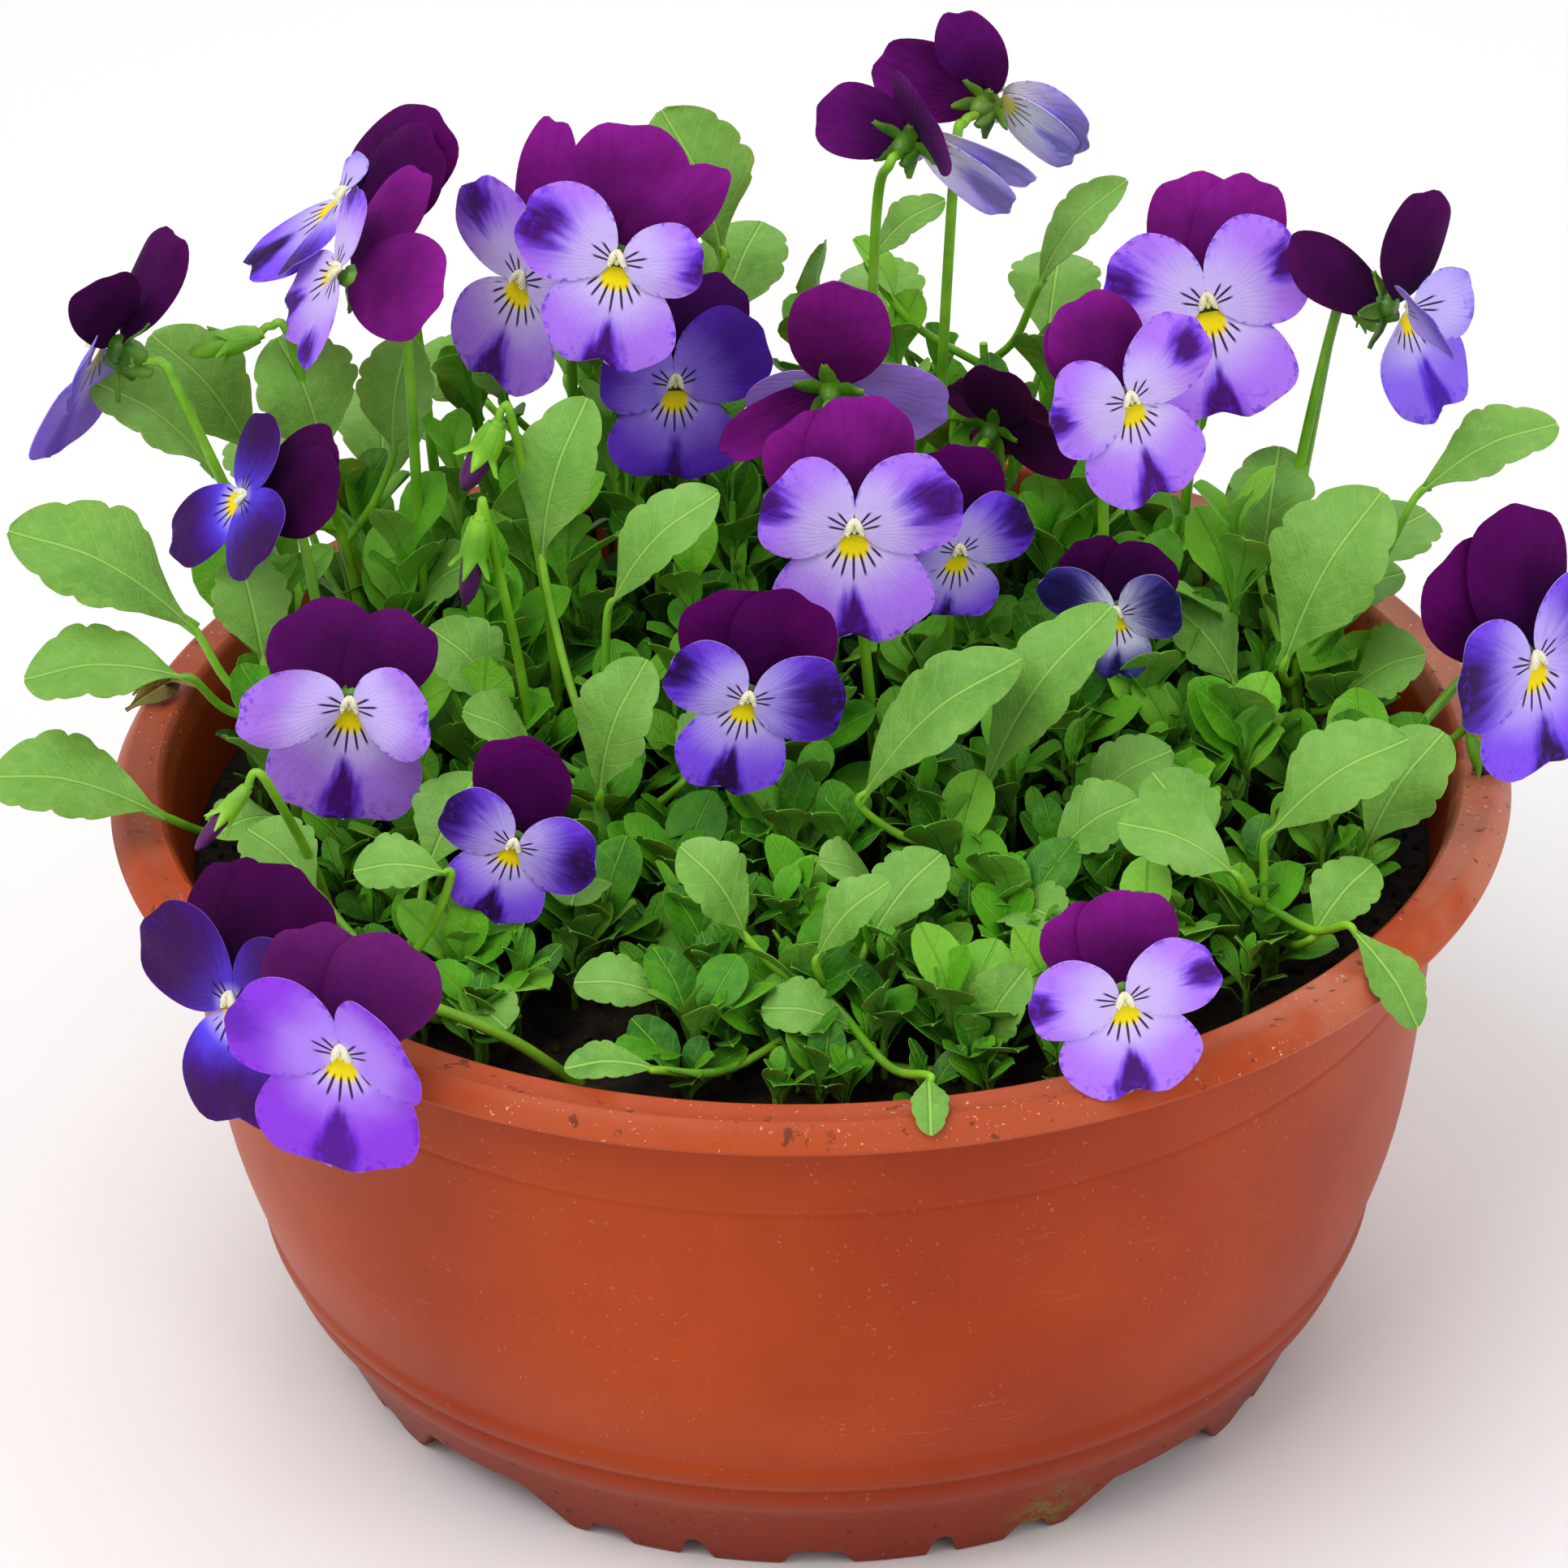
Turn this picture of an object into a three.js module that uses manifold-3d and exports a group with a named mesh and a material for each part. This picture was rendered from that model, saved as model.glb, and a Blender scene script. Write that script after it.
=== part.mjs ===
// Potted pansy planter: a round plastic bowl on a cut-out foot ring, filled with soil, with 24
// pansy blooms on their stalks and ten leafy plants. Millimetres, +Z up. The origin is on the
// bowl's axis at the foot's resting plane, and the front of the bowl faces -Y.
import * as THREE from 'three';
import { mergeVertices } from 'three/addons/utils/BufferGeometryUtils.js';
import Module from 'manifold-3d';

const wasm = await Module();
wasm.setup();

// ---------------------------------------------------------------- driving dimensions
const GAP = 0.35;                 // clearance kept between pieces that touch
const WALL = 2.8;                 // bowl wall
const SEGMENTS = 48;              // sides of the turned shapes

const RIM = { ridge: 136.6, inner: 130.1, lip: 140, top: 128, innerTop: 127.8, lipBottom: 122.6, fold: 2.4 };
const BODY = { top: 118, topRadius: 128, neck: 116 };
const FOOT = { radius: 100.4, thickness: 3, top: 18, topRadius: 108.4, turn: -0.7 };
const BASE = { underside: 11.5, floor: 14.5, floorRadius: 103, underRadius: 100.6 };
const DRAIN = { radius: 6, ring: 62, count: 6, depth: 10 };
const SOIL = { centre: 111.5, edge: 108.5, radius: 124.4, footInset: 4.4, wallInset: 0.1 };

// Openings cut in the foot ring: the angle from the front or back, the half widths in degrees at the
// bottom and the top, and the height. The middle ones lie at the front, the back and both sides.
const FOOT_CUTS = [
  { angle: 41, bottom: 12, top: 7, height: 10.2 },
  { angle: 24.2, bottom: 2.9, top: 1.6, height: 4.2 },
  { angle: 59, bottom: 2.9, top: 1.6, height: 4.2 },
  { angle: 13.8, bottom: 1.6, top: 1, height: 6 },
  { angle: 70, bottom: 1.6, top: 1, height: 6 },
];
const MIDDLE_CUT = { bottom: 4, top: 2.5, height: 4.2 };
const CUT = { depth: 26, outside: 11, below: 3 };

const STALK = { radius: 1.2, steps: 6, hook: 4, hookRise: 0.6, shoulder: 7, shoulderDrop: 5, bow: -0.08 };
const STEM = { radius: 1.7, steps: 4 };
const PETIOLE = { radius: 0.9, steps: 3, reach: 0.3, lower: 0.35, sag: 0.12, bend: 0.6 };
const LEAF = { thickness: 0.9, arch: 0.1, belly: 0.25 };
const PETAL = { thickness: 0.9, belly: 0.38, claw: 0.12, start: 2.6 };
const BLOOM = { calyxRadius: 4.4, calyxEnd: 1.6, calyxDepth: 8, eyeHeight: 1.2, seat: 0.1 };

// Petals of a bloom of size 1: angle from straight up (clockwise, seen from the front), length,
// width, lean out of the bloom's plane (degrees, backwards is negative) and how far it lies forward.
const PETALS = [
  { angle: -22, length: 26, width: 22, lean: -14, lift: -2.4 },
  { angle: 15, length: 26, width: 22, lean: -14, lift: -1 },
  { angle: -66, length: 20, width: 19, lean: 6, lift: 0.4 },
  { angle: 66, length: 20, width: 19, lean: 6, lift: 0.4 },
  { angle: 181, length: 22, width: 27, lean: 8, lift: 0 },
];

// Blooms: where the eye is, the way it faces (degrees round from the front towards +X), its tilt
// upwards, its spin clockwise, its size, and where its stalk stands on the soil. A stalk that has to
// clear the rim has points of its own to pass through.
const FLOWERS = [
  { name: 'far_left', eye: [-138, 20, 210], facing: -95, tilt: 20, spin: 0, size: 1.15, foot: [-98, 22] },
  { name: 'rear_left', eye: [-91.5, 55, 224], facing: -75, tilt: 38, spin: 6, size: 1.05, foot: [-74, 62] },
  { name: 'left_pair', eye: [-91, 28, 221], facing: -70, tilt: 30, spin: 50, size: 1, foot: [-78, 34] },
  { name: 'back_left', eye: [-56, 48, 209], facing: -35, tilt: 5, spin: 15, size: 1.05, foot: [-48, 70] },
  { name: 'back_centre', eye: [-36, 24, 224], facing: -10, tilt: 8, spin: 2, size: 1.02, foot: [-34, 70],
    via: [[-35, 74, 170], [-36, 64, 208]] },
  { name: 'violet', eye: [-26, 46, 186], facing: 10, tilt: 20, spin: 8, size: 0.92, foot: [-14, 66] },
  { name: 'facing_back', eye: [6, 32, 193.5], facing: 172, tilt: 10, spin: 0, size: 0.95, foot: [4, 14] },
  { name: 'centre', eye: [9, -20, 187], facing: 3, tilt: 3, spin: 0, size: 1.03, foot: [14, -4] },
  { name: 'behind_centre', eye: [30, 6, 168], facing: 12, tilt: 3, spin: 3, size: 0.8, foot: [30, 26] },
  { name: 'dark_back', eye: [39, 44, 178], facing: 160, tilt: 15, spin: -10, size: 0.8, foot: [36, 30] },
  { name: 'right_front', eye: [63, 0, 203.5], facing: 18, tilt: 8, spin: -6, size: 0.9, foot: [60, 14] },
  { name: 'right_large', eye: [81, 38, 205.5], facing: -4, tilt: 18, spin: -8, size: 1.05, foot: [76, 52] },
  { name: 'top_left', eye: [23, 43, 242], facing: 150, tilt: 15, spin: 45, size: 0.9, foot: [12, 56],
    via: [[13, 51, 160], [15, 43, 224]] },
  { name: 'top_right', eye: [40, 68, 239], facing: 140, tilt: 15, spin: 35, size: 0.9, foot: [26, 64] },
  { name: 'far_right', eye: [119, 30, 208], facing: 65, tilt: 5, spin: 0, size: 0.95, foot: [92, 34] },
  { name: 'right_edge', eye: [142, -15, 152.5], facing: 35, tilt: 5, spin: -8, size: 1.08, foot: [104, -18] },
  { name: 'small_dark', eye: [61, -2, 158], facing: -10, tilt: 0, spin: 0, size: 0.72, foot: [60, -16] },
  { name: 'middle', eye: [-12, -45, 164], facing: 4, tilt: 0, spin: 8, size: 0.88, foot: [-8, -26] },
  { name: 'left_middle', eye: [-88, -42, 162.5], facing: -5, tilt: 0, spin: 4, size: 1, foot: [-66, -24] },
  { name: 'low_left', eye: [-56, -76, 151], facing: -10, tilt: 0, spin: 10, size: 0.8, foot: [-44, -60] },
  { name: 'left_dark', eye: [-110, 0, 186], facing: -60, tilt: 30, spin: 50, size: 0.88, foot: [-92, -4] },
  { name: 'corner_rear', eye: [-108, -98, 131], facing: -35, tilt: 12, spin: -10, size: 1, foot: [-82, -66],
    via: [[-86, -71, 122], [-94, -81, 134]] },
  { name: 'corner_front', eye: [-86, -125, 137], facing: -12, tilt: -4, spin: 3, size: 1.05, foot: [-44, -94],
    via: [[-58, -100, 124], [-75, -106, 136]] },
  { name: 'low_right', eye: [55, -129, 148], facing: 5, tilt: -4, spin: -4, size: 0.92, foot: [50, -98] },
];

// Plants: where the stem stands, the top of the stem, and each leaf as its base, its tip and its
// width. A petiole joins the stem to the base.
const PLANTS = [
  { name: 'left_plant', foot: [-100, -12], top: [-107, -14, 146], leaves: [
    [[-120, -10, 162], [-154, -10, 186], 26],
    [[-120, -22, 158], [-152, -26, 162], 20],
    [[-126, -34, 134], [-159, -34, 145], 22],
    [[-108, -2, 150], [-112, 6, 170], 16],
    [[-103, -26, 128], [-116, -40, 134], 14],
    [[-96, -8, 132], [-84, -12, 150], 16],
  ] },
  { name: 'rear_left_plant', foot: [-88, 42], top: [-96, 44, 160], leaves: [
    [[-118, 26, 178], [-140, 24, 201], 18],
    [[-112, 44, 172], [-130, 46, 200], 22],
    [[-97, 36, 176], [-104, 36, 203], 24],
    [[-84, 48, 170], [-80, 50, 196], 17],
    [[-104, 62, 150], [-118, 80, 160], 18],
    [[-88, 66, 150], [-88, 92, 166], 20],
    [[-80, 34, 140], [-66, 28, 158], 16],
  ] },
  { name: 'back_plant', foot: [-34, 92], top: [-36, 90, 172], leaves: [
    [[-62, 78, 166], [-68, 74, 190], 18],
    [[-44, 82, 168], [-40, 84, 194], 18],
    [[-66, 98, 156], [-84, 108, 164], 20],
    [[-50, 104, 158], [-48, 126, 172], 20],
    [[-16, 80, 198], [-27, 84, 230], 25],
    [[-18, 96, 172], [-8, 118, 190], 20],
    [[-26, 104, 144], [-16, 120, 150], 18],
  ] },
  { name: 'back_right_plant', foot: [40, 84], top: [38, 84, 176], leaves: [
    [[14, 80, 196], [29, 78, 212], 11],
    [[48, 66, 196], [65, 64, 222], 13],
    [[66, 84, 176], [84, 94, 194], 18],
    [[52, 100, 166], [56, 122, 180], 20],
    [[22, 98, 168], [14, 118, 180], 19],
    [[68, 92, 142], [84, 100, 148], 19],
    [[60, 70, 158], [70, 62, 176], 16],
    [[22, 78, 160], [14, 68, 180], 16],
  ] },
  { name: 'right_plant', foot: [98, 12], top: [98, 10, 140], leaves: [
    [[122, 22, 170], [149, 22, 187], 17],
    [[94, -4, 146], [112, 2, 182], 26],
    [[100, 14, 146], [119, 14, 158], 15],
    [[108, 0, 138], [122, -2, 148], 19],
    [[92, 26, 150], [96, 38, 174], 18],
    [[112, 34, 146], [128, 48, 154], 18],
    [[86, 6, 136], [74, 12, 152], 16],
    [[104, 52, 132], [114, 68, 138], 17],
  ] },
  { name: 'right_front_plant', foot: [88, -58], top: [86, -62, 128], leaves: [
    [[80, -72, 139], [58, -72, 152], 20],
    [[86, -60, 140], [112, -58, 161], 21],
    [[108, -38, 124], [122, -34, 148], 20],
    [[100, -82, 134], [114, -96, 119], 14],
    [[94, -74, 126], [106, -66, 138], 14],
    [[76, -54, 130], [66, -44, 146], 17],
    [[72, -78, 120], [60, -86, 124], 13],
  ] },
  { name: 'front_plant', foot: [4, -90], top: [2, -88, 126], leaves: [
    [[-13, -84, 135], [-24, -84, 155], 16],
    [[0, -90, 133], [13, -91, 151], 12],
    [[8, -97, 122], [-10, -97, 128], 14],
    [[-27, -90, 125], [-45, -90, 130], 13],
    [[31, -100, 118], [38, -102, 138], 14],
    [[20, -125, 130], [20, -139, 127], 7],
    [[-29, -117, 127], [-46, -121, 131], 9],
    [[10, -76, 128], [24, -66, 142], 15],
  ] },
  { name: 'left_front_plant', foot: [-78, -76], top: [-78, -76, 126], leaves: [
    [[-68, -76, 145], [-86, -78, 148], 14],
    [[-94, -62, 132], [-108, -52, 142], 16],
    [[-74, -62, 136], [-64, -50, 152], 16],
    [[-66, -84, 120], [-58, -96, 124], 13],
    [[-90, -78, 126], [-100, -74, 136], 12],
  ] },
  { name: 'middle_left_plant', foot: [-42, -20], top: [-42, -22, 138], leaves: [
    [[-52, -2, 172], [-43, 0, 206], 18],
    [[-39, -16, 168], [-18, -16, 194], 17],
    [[-41, -40, 140], [-32, -40, 170], 18],
    [[-54, -30, 142], [-66, -36, 158], 16],
    [[-60, -8, 142], [-74, -6, 160], 18],
    [[-26, -26, 134], [-14, -18, 148], 15],
    [[-44, -52, 128], [-46, -68, 134], 14],
  ] },
  { name: 'middle_right_plant', foot: [30, -40], top: [29, -40, 128], leaves: [
    [[9, -42, 139], [39, -42, 171], 20],
    [[33, -36, 137], [57, -30, 175], 18],
    [[46, -50, 130], [62, -50, 144], 17],
    [[36, -60, 124], [46, -74, 132], 15],
    [[12, -56, 126], [2, -64, 140], 14],
    [[52, -30, 128], [70, -28, 142], 16],
  ] },
];

// ---------------------------------------------------------------- solids
/** A closed three.js geometry as a manifold solid. */
function solidOf(geometry) {
  const bare = geometry.clone();
  bare.deleteAttribute('normal');
  bare.deleteAttribute('uv');
  const merged = mergeVertices(bare, 1e-4);
  const corners = merged.index.array;
  const triVerts = [];
  for (let i = 0; i < corners.length; i += 3) {
    const [a, b, c] = [corners[i], corners[i + 1], corners[i + 2]];
    if (a !== b && b !== c && c !== a) triVerts.push(a, b, c);
  }
  const mesh = new wasm.Mesh({
    numProp: 3,
    vertProperties: new Float32Array(merged.attributes.position.array),
    triVerts: new Uint32Array(triVerts),
  });
  return new wasm.Manifold(mesh);
}

/** A manifold solid as a three.js geometry. */
function geometryOf(solid) {
  const mesh = solid.getMesh();
  const geometry = new THREE.BufferGeometry();
  geometry.setAttribute('position', new THREE.BufferAttribute(mesh.vertProperties, 3));
  geometry.setIndex(new THREE.BufferAttribute(mesh.triVerts, 1));
  const flat = geometry.toNonIndexed();
  flat.computeVertexNormals();
  return flat;
}

/** All the solids joined into one. */
function join(solids) {
  return solids.reduce((whole, next) => whole.add(next));
}

/** The largest separate body of a solid. */
function largestBody(solid) {
  return solid.decompose().reduce((best, next) => (next.volume() > best.volume() ? next : best));
}

/** A turned solid from an outline of [radius, height] points, in order up its outer side. */
function turned(outline) {
  const points = [...outline, outline[0]].map(([radius, height]) => new THREE.Vector2(radius, height));
  const lathe = new THREE.LatheGeometry(points, SEGMENTS);
  lathe.rotateX(Math.PI / 2);
  return solidOf(lathe);
}

/** A thin closed plate. place(s, t) gives its middle surface, s along 0..1 and t across -1..1. */
function plate(rows, columns, thickness, place) {
  const box = new THREE.BoxGeometry(2, 1, 1, columns, rows, 1);
  const corners = box.attributes.position;
  const step = 0.01;
  for (let i = 0; i < corners.count; i++) {
    const s = corners.getY(i) + 0.5;
    const t = corners.getX(i);
    const middle = place(s, t);
    const across = place(s, t + step).sub(place(s, t - step));
    const along = place(Math.min(s + step, 1), t).sub(place(Math.max(s - step, 0), t));
    const normal = across.cross(along).normalize();
    middle.addScaledVector(normal, corners.getZ(i) * thickness);
    corners.setXYZ(i, middle.x, middle.y, middle.z);
  }
  return solidOf(box);
}

/** A tube of a few sides along a smooth path through the points. */
function tube(points, radius, steps, sides = 4) {
  const turns = Array.from({ length: sides }, (_, i) => (i / sides) * 2 * Math.PI);
  const section = new THREE.Shape(turns.map((a) => new THREE.Vector2(radius * Math.cos(a), radius * Math.sin(a))));
  const extrudePath = new THREE.CatmullRomCurve3(points);
  return solidOf(new THREE.ExtrudeGeometry(section, { steps, extrudePath }));
}

/** A named mesh with a colour of its own. */
function mesh(name, solid, color, roughness = 0.7) {
  const material = new THREE.MeshStandardMaterial({ color, roughness, metalness: 0 });
  const object = new THREE.Mesh(geometryOf(solid), material);
  object.name = name;
  return object;
}

const radians = THREE.MathUtils.degToRad;
const SKY = new THREE.Vector3(0, -0.35, 1);

// ---------------------------------------------------------------- bowl and soil
/** Outline of the bowl's outer side from the foot's top to the lip. */
const OUTER_SIDE = [
  [FOOT.topRadius, FOOT.top], [111.8, 20.4], [112.8, 26.8], [115, 29], [115.8, 33], [121.4, 55],
  [124.6, 80], [BODY.topRadius, BODY.top],
];

/** Radius of the bowl's inner wall at a height. */
function innerRadius(height) {
  const side = OUTER_SIDE;
  const next = Math.max(1, side.findIndex(([, z]) => z >= height));
  const [[lowRadius, low], [highRadius, high]] = [side[next - 1], side[next]];
  return THREE.MathUtils.mapLinear(height, low, high, lowRadius, highRadius) - WALL;
}

/** The bowl's turned body, with its folded lip and its foot ring. */
function bowlBody() {
  const lip = [
    [131.4, 124.8], [135.4, 125.6], [RIM.lip - RIM.fold, RIM.lipBottom], [RIM.lip, RIM.lipBottom],
    [RIM.ridge, RIM.top], [RIM.inner, RIM.innerTop],
  ];
  const inside = [BODY.neck, 80, 55, 30].map((height) => [innerRadius(height), height]);
  const under = [
    [BASE.floorRadius, BASE.floor], [0, BASE.floor], [0, BASE.underside],
    [BASE.underRadius, BASE.underside], [FOOT.radius - FOOT.thickness, 0], [FOOT.radius, 0],
  ];
  return turned([...OUTER_SIDE, ...lip, ...inside, ...under]);
}

/** A wedge that cuts the foot ring, centred on an angle round from the front. */
function footCut(angle, { bottom, top, height }) {
  const low = FOOT.radius * Math.tan(radians(bottom));
  const high = FOOT.radius * Math.tan(radians(top));
  const outline = new THREE.Shape([
    new THREE.Vector2(-low, -CUT.below), new THREE.Vector2(low, -CUT.below), new THREE.Vector2(low, 0),
    new THREE.Vector2(high, height), new THREE.Vector2(-high, height), new THREE.Vector2(-low, 0),
  ]);
  const wedge = new THREE.ExtrudeGeometry(outline, { depth: CUT.depth, bevelEnabled: false });
  wedge.rotateX(Math.PI / 2);
  wedge.translate(0, CUT.depth - CUT.outside - FOOT.radius, 0);
  wedge.rotateZ(radians(angle));
  return solidOf(wedge);
}

/** The four arches and the notches of the foot ring. */
function footCuts() {
  const cuts = [0, 90, 180, 270].map((angle) => footCut(FOOT.turn + angle, MIDDLE_CUT));
  for (const middle of [0, 180]) {
    for (const shape of FOOT_CUTS) {
      cuts.push(footCut(FOOT.turn + middle + shape.angle, shape));
      cuts.push(footCut(FOOT.turn + middle - shape.angle, shape));
    }
  }
  return cuts;
}

/** The drain holes through the bowl's floor: one in the middle and a ring of six. */
function drainHoles() {
  const holes = [];
  for (let i = 0; i <= DRAIN.count; i++) {
    const hole = new THREE.CylinderGeometry(DRAIN.radius, DRAIN.radius, DRAIN.depth, 12);
    hole.rotateX(Math.PI / 2);
    hole.translate(i < DRAIN.count ? DRAIN.ring : 0, 0, (BASE.floor + BASE.underside) / 2);
    hole.rotateZ((i / DRAIN.count) * 2 * Math.PI);
    holes.push(solidOf(hole));
  }
  return holes;
}

function bowl() {
  return [...footCuts(), ...drainHoles()].reduce((body, cut) => body.subtract(cut), bowlBody());
}

/** Height of the soil at a distance from the axis. */
function soilHeight(x, y) {
  const share = Math.hypot(x, y) / SOIL.radius;
  return THREE.MathUtils.lerp(SOIL.centre, SOIL.edge, share * share);
}

/** The soil's surface as outline points, from three quarters of the way out to the axis. */
function soilTop(rise = 0) {
  return [0.75, 0.5, 0].map((share) => [SOIL.radius * share, soilHeight(SOIL.radius * share, 0) + rise]);
}

/** The soil fills the bowl from its floor to just below the rim, a little domed. */
function soil() {
  const floor = BASE.floor + GAP;
  const side = [30, 55, 80, SOIL.edge].map((height) => [innerRadius(height) - GAP - SOIL.wallInset, height]);
  return turned([[0, floor], [innerRadius(FOOT.top) - GAP - SOIL.footInset, floor], ...side, ...soilTop()]);
}

/** The space that foliage keeps out of: the bowl's rim and wall, and the soil, with the gap. */
function keepOut() {
  const low = 60;
  const wall = [
    [innerRadius(low) - GAP, low], [BODY.topRadius + GAP, low], [RIM.lip, RIM.lipBottom - GAP],
    [RIM.lip + GAP, RIM.lipBottom], [RIM.ridge + GAP, RIM.top + GAP], [RIM.inner, RIM.top + GAP],
    [RIM.inner - GAP, RIM.top], [innerRadius(BODY.neck) - GAP, BODY.neck],
  ];
  const rise = 0.6 * GAP;
  const ground = [[0, low], [SOIL.radius, low], [SOIL.radius, SOIL.edge + rise], ...soilTop(rise)];
  return [turned(wall), turned(ground)];
}

// ---------------------------------------------------------------- blooms
/** Axes of a bloom: u to its right, v to its top, w the way it faces. */
function bloomAxes({ facing, tilt, spin }) {
  const [around, up] = [radians(facing), radians(tilt)];
  const flat = Math.cos(up);
  const w = new THREE.Vector3(Math.sin(around) * flat, -Math.cos(around) * flat, Math.sin(up));
  const u = new THREE.Vector3(Math.cos(around), Math.sin(around), 0).applyAxisAngle(w, -radians(spin));
  return { u, v: w.clone().cross(u), w };
}

/** Half width of a blade at s along it: widest past the middle, blunt at the tip. */
function halfWidth(s, width, belly, claw) {
  const sweep = s * 0.93 * Math.PI;
  return Math.max((width / 2) * Math.sin(sweep) * (1 - belly * Math.cos(sweep)), (claw * width) / 2);
}

/** Distance along a blade at s, with rows closer together at both ends. */
function alongAt(s, length) {
  return (length * (1 - Math.cos(s * Math.PI))) / 2;
}

/** One petal in the bloom's own axes: x to the right, y to the top, z forwards. */
function petal({ angle, length, width, lean, lift }, grow) {
  const turn = radians(angle);
  return plate(3, 1, PETAL.thickness + 2 * grow, (s, t) => {
    const along = PETAL.start + alongAt(s, length - PETAL.start + grow);
    const across = t * (halfWidth(s, width, PETAL.belly, PETAL.claw) + grow);
    const rise = lift + along * Math.tan(radians(lean));
    const [sin, cos] = [Math.sin(turn), Math.cos(turn)];
    return new THREE.Vector3(along * sin + across * cos, along * cos - across * sin, rise);
  });
}

/** A whole bloom: five petals and the plug of eye and calyx, grown by a clearance. */
function bloom(flower, grow = 0) {
  const { u, v, w } = bloomAxes(flower);
  const parts = PETALS.map((each) => petal(each, grow));
  const [back, front] = [-BLOOM.calyxDepth - grow, BLOOM.eyeHeight + grow];
  const [wide, narrow] = [BLOOM.calyxRadius + grow, BLOOM.calyxEnd + grow];
  const calyx = new THREE.CylinderGeometry(wide, narrow, front - back, 5);
  calyx.rotateX(Math.PI / 2);
  calyx.translate(0, 0, (front + back) / 2);
  parts.push(solidOf(calyx));
  const place = new THREE.Matrix4().makeBasis(u, v, w);
  place.scale(new THREE.Vector3(flower.size, flower.size, flower.size));
  place.setPosition(...flower.eye);
  return join(parts).transform(place.elements);
}

// ---------------------------------------------------------------- stalks and plants
/** The flower stalk: up from the soil, over at the top and forwards into the calyx. */
function stalk(flower, grow = 0) {
  const { w } = bloomAxes(flower);
  const [x, y] = flower.foot;
  const foot = new THREE.Vector3(x, y, soilHeight(x, y) + GAP - grow);
  const eye = new THREE.Vector3(...flower.eye);
  const end = eye.clone().addScaledVector(w, -BLOOM.calyxDepth * flower.size - BLOOM.seat - GAP + grow);
  const hook = end.clone().addScaledVector(w, -STALK.hook);
  hook.z += STALK.hookRise;
  const shoulder = end.clone().addScaledVector(w, -STALK.shoulder);
  shoulder.z -= STALK.shoulderDrop;
  const [middle, lean] = [foot.clone().lerp(shoulder, 0.5), shoulder.clone().sub(foot)];
  middle.add(new THREE.Vector3(lean.x * STALK.bow, lean.y * STALK.bow, 2));
  const via = flower.via ? flower.via.map((point) => new THREE.Vector3(...point)) : [middle, shoulder];
  return tube([foot, ...via, hook, end], STALK.radius + grow, STALK.steps);
}

/** The middle surface of a leaf blade from its base to its tip, its upper side to the sky. */
function leafSurface(base, tip, width, grow) {
  const axis = tip.clone().sub(base);
  const length = axis.length();
  axis.normalize();
  const across = axis.clone().cross(SKY).normalize();
  const normal = across.clone().cross(axis);
  return (s, t) => {
    const along = alongAt(s, length + grow);
    const half = halfWidth(s, width, LEAF.belly, PETAL.claw) + grow;
    const rise = LEAF.arch * length * Math.sin(s * Math.PI);
    return base.clone().addScaledVector(axis, along).addScaledVector(across, t * half)
      .addScaledVector(normal, rise);
  };
}

/** A leafy plant: an upright stem, and a petiole and blade for each leaf. */
function plant({ foot: [x, y], top, leaves }, grow = 0) {
  const foot = new THREE.Vector3(x, y, soilHeight(x, y) + GAP - grow);
  const crown = new THREE.Vector3(...top);
  const parts = [tube([foot, foot.clone().lerp(crown, 0.5), crown], STEM.radius + grow, STEM.steps)];
  for (const [base, tip, width] of leaves) {
    const [from, to] = [new THREE.Vector3(...base), new THREE.Vector3(...tip)];
    const level = (from.z - foot.z) / (crown.z - foot.z);
    const joint = foot.clone().lerp(crown, THREE.MathUtils.clamp(level - PETIOLE.lower, 0.1, 0.92));
    const surface = leafSurface(from, to, width, grow);
    const bend = joint.clone().lerp(from, PETIOLE.bend);
    bend.z -= PETIOLE.sag * from.distanceTo(joint);
    const petiole = [joint, bend, from, surface(PETIOLE.reach, 0)];
    parts.push(tube(petiole, PETIOLE.radius + grow, PETIOLE.steps, 3));
    parts.push(plate(3, 1, LEAF.thickness + 2 * grow, surface));
  }
  return join(parts);
}

// ---------------------------------------------------------------- the whole planter
/** Cuts each solid clear of the ones placed before it, and keeps its largest body. */
function clearOf(solid, neighbours) {
  const box = solid.boundingBox();
  const near = neighbours.filter(({ grown }) => {
    const other = grown.boundingBox();
    return [0, 1, 2].every((i) => other.max[i] > box.min[i] && other.min[i] < box.max[i]);
  });
  return largestBody(near.reduce((rest, { grown }) => rest.subtract(grown), solid));
}

const planter = new THREE.Group();
const placed = keepOut().map((grown) => ({ grown }));

/** Adds a piece: cut clear of those already there, which then keep the gap to it. */
function add(name, solid, grown, color) {
  const piece = clearOf(solid, placed);
  placed.push({ grown });
  planter.add(mesh(name, piece, color));
}

const COLOURS = { bowl: 0xb04826, soil: 0x3a2a1e, petals: 0x8f6be0, stalk: 0x78b428, leaves: 0x6ea555 };

planter.add(mesh('bowl', bowl(), COLOURS.bowl, 0.45));
planter.add(mesh('soil', soil(), COLOURS.soil, 0.95));
for (const flower of FLOWERS) {
  add(`bloom_${flower.name}`, bloom(flower), bloom(flower, GAP), COLOURS.petals);
}
for (const flower of FLOWERS) {
  add(`stalk_${flower.name}`, stalk(flower), stalk(flower, GAP), COLOURS.stalk);
}
for (const each of PLANTS) {
  add(each.name, plant(each), plant(each, GAP), COLOURS.leaves);
}

export default planter;
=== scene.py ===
"""Pansies in a round plastic bowl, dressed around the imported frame.

The frame gives the place of every sub-part: each bloom, stalk, plant, the soil and the bowl. This
script gives them their fine shapes and their finishes. Sizes are in millimetres until a mesh is
written, which is in metres.
"""

from __future__ import annotations

import logging
import math
from dataclasses import dataclass, field, replace
from enum import Enum
from functools import cached_property
from typing import Any, Callable, Iterable, Mapping, Sequence

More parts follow.
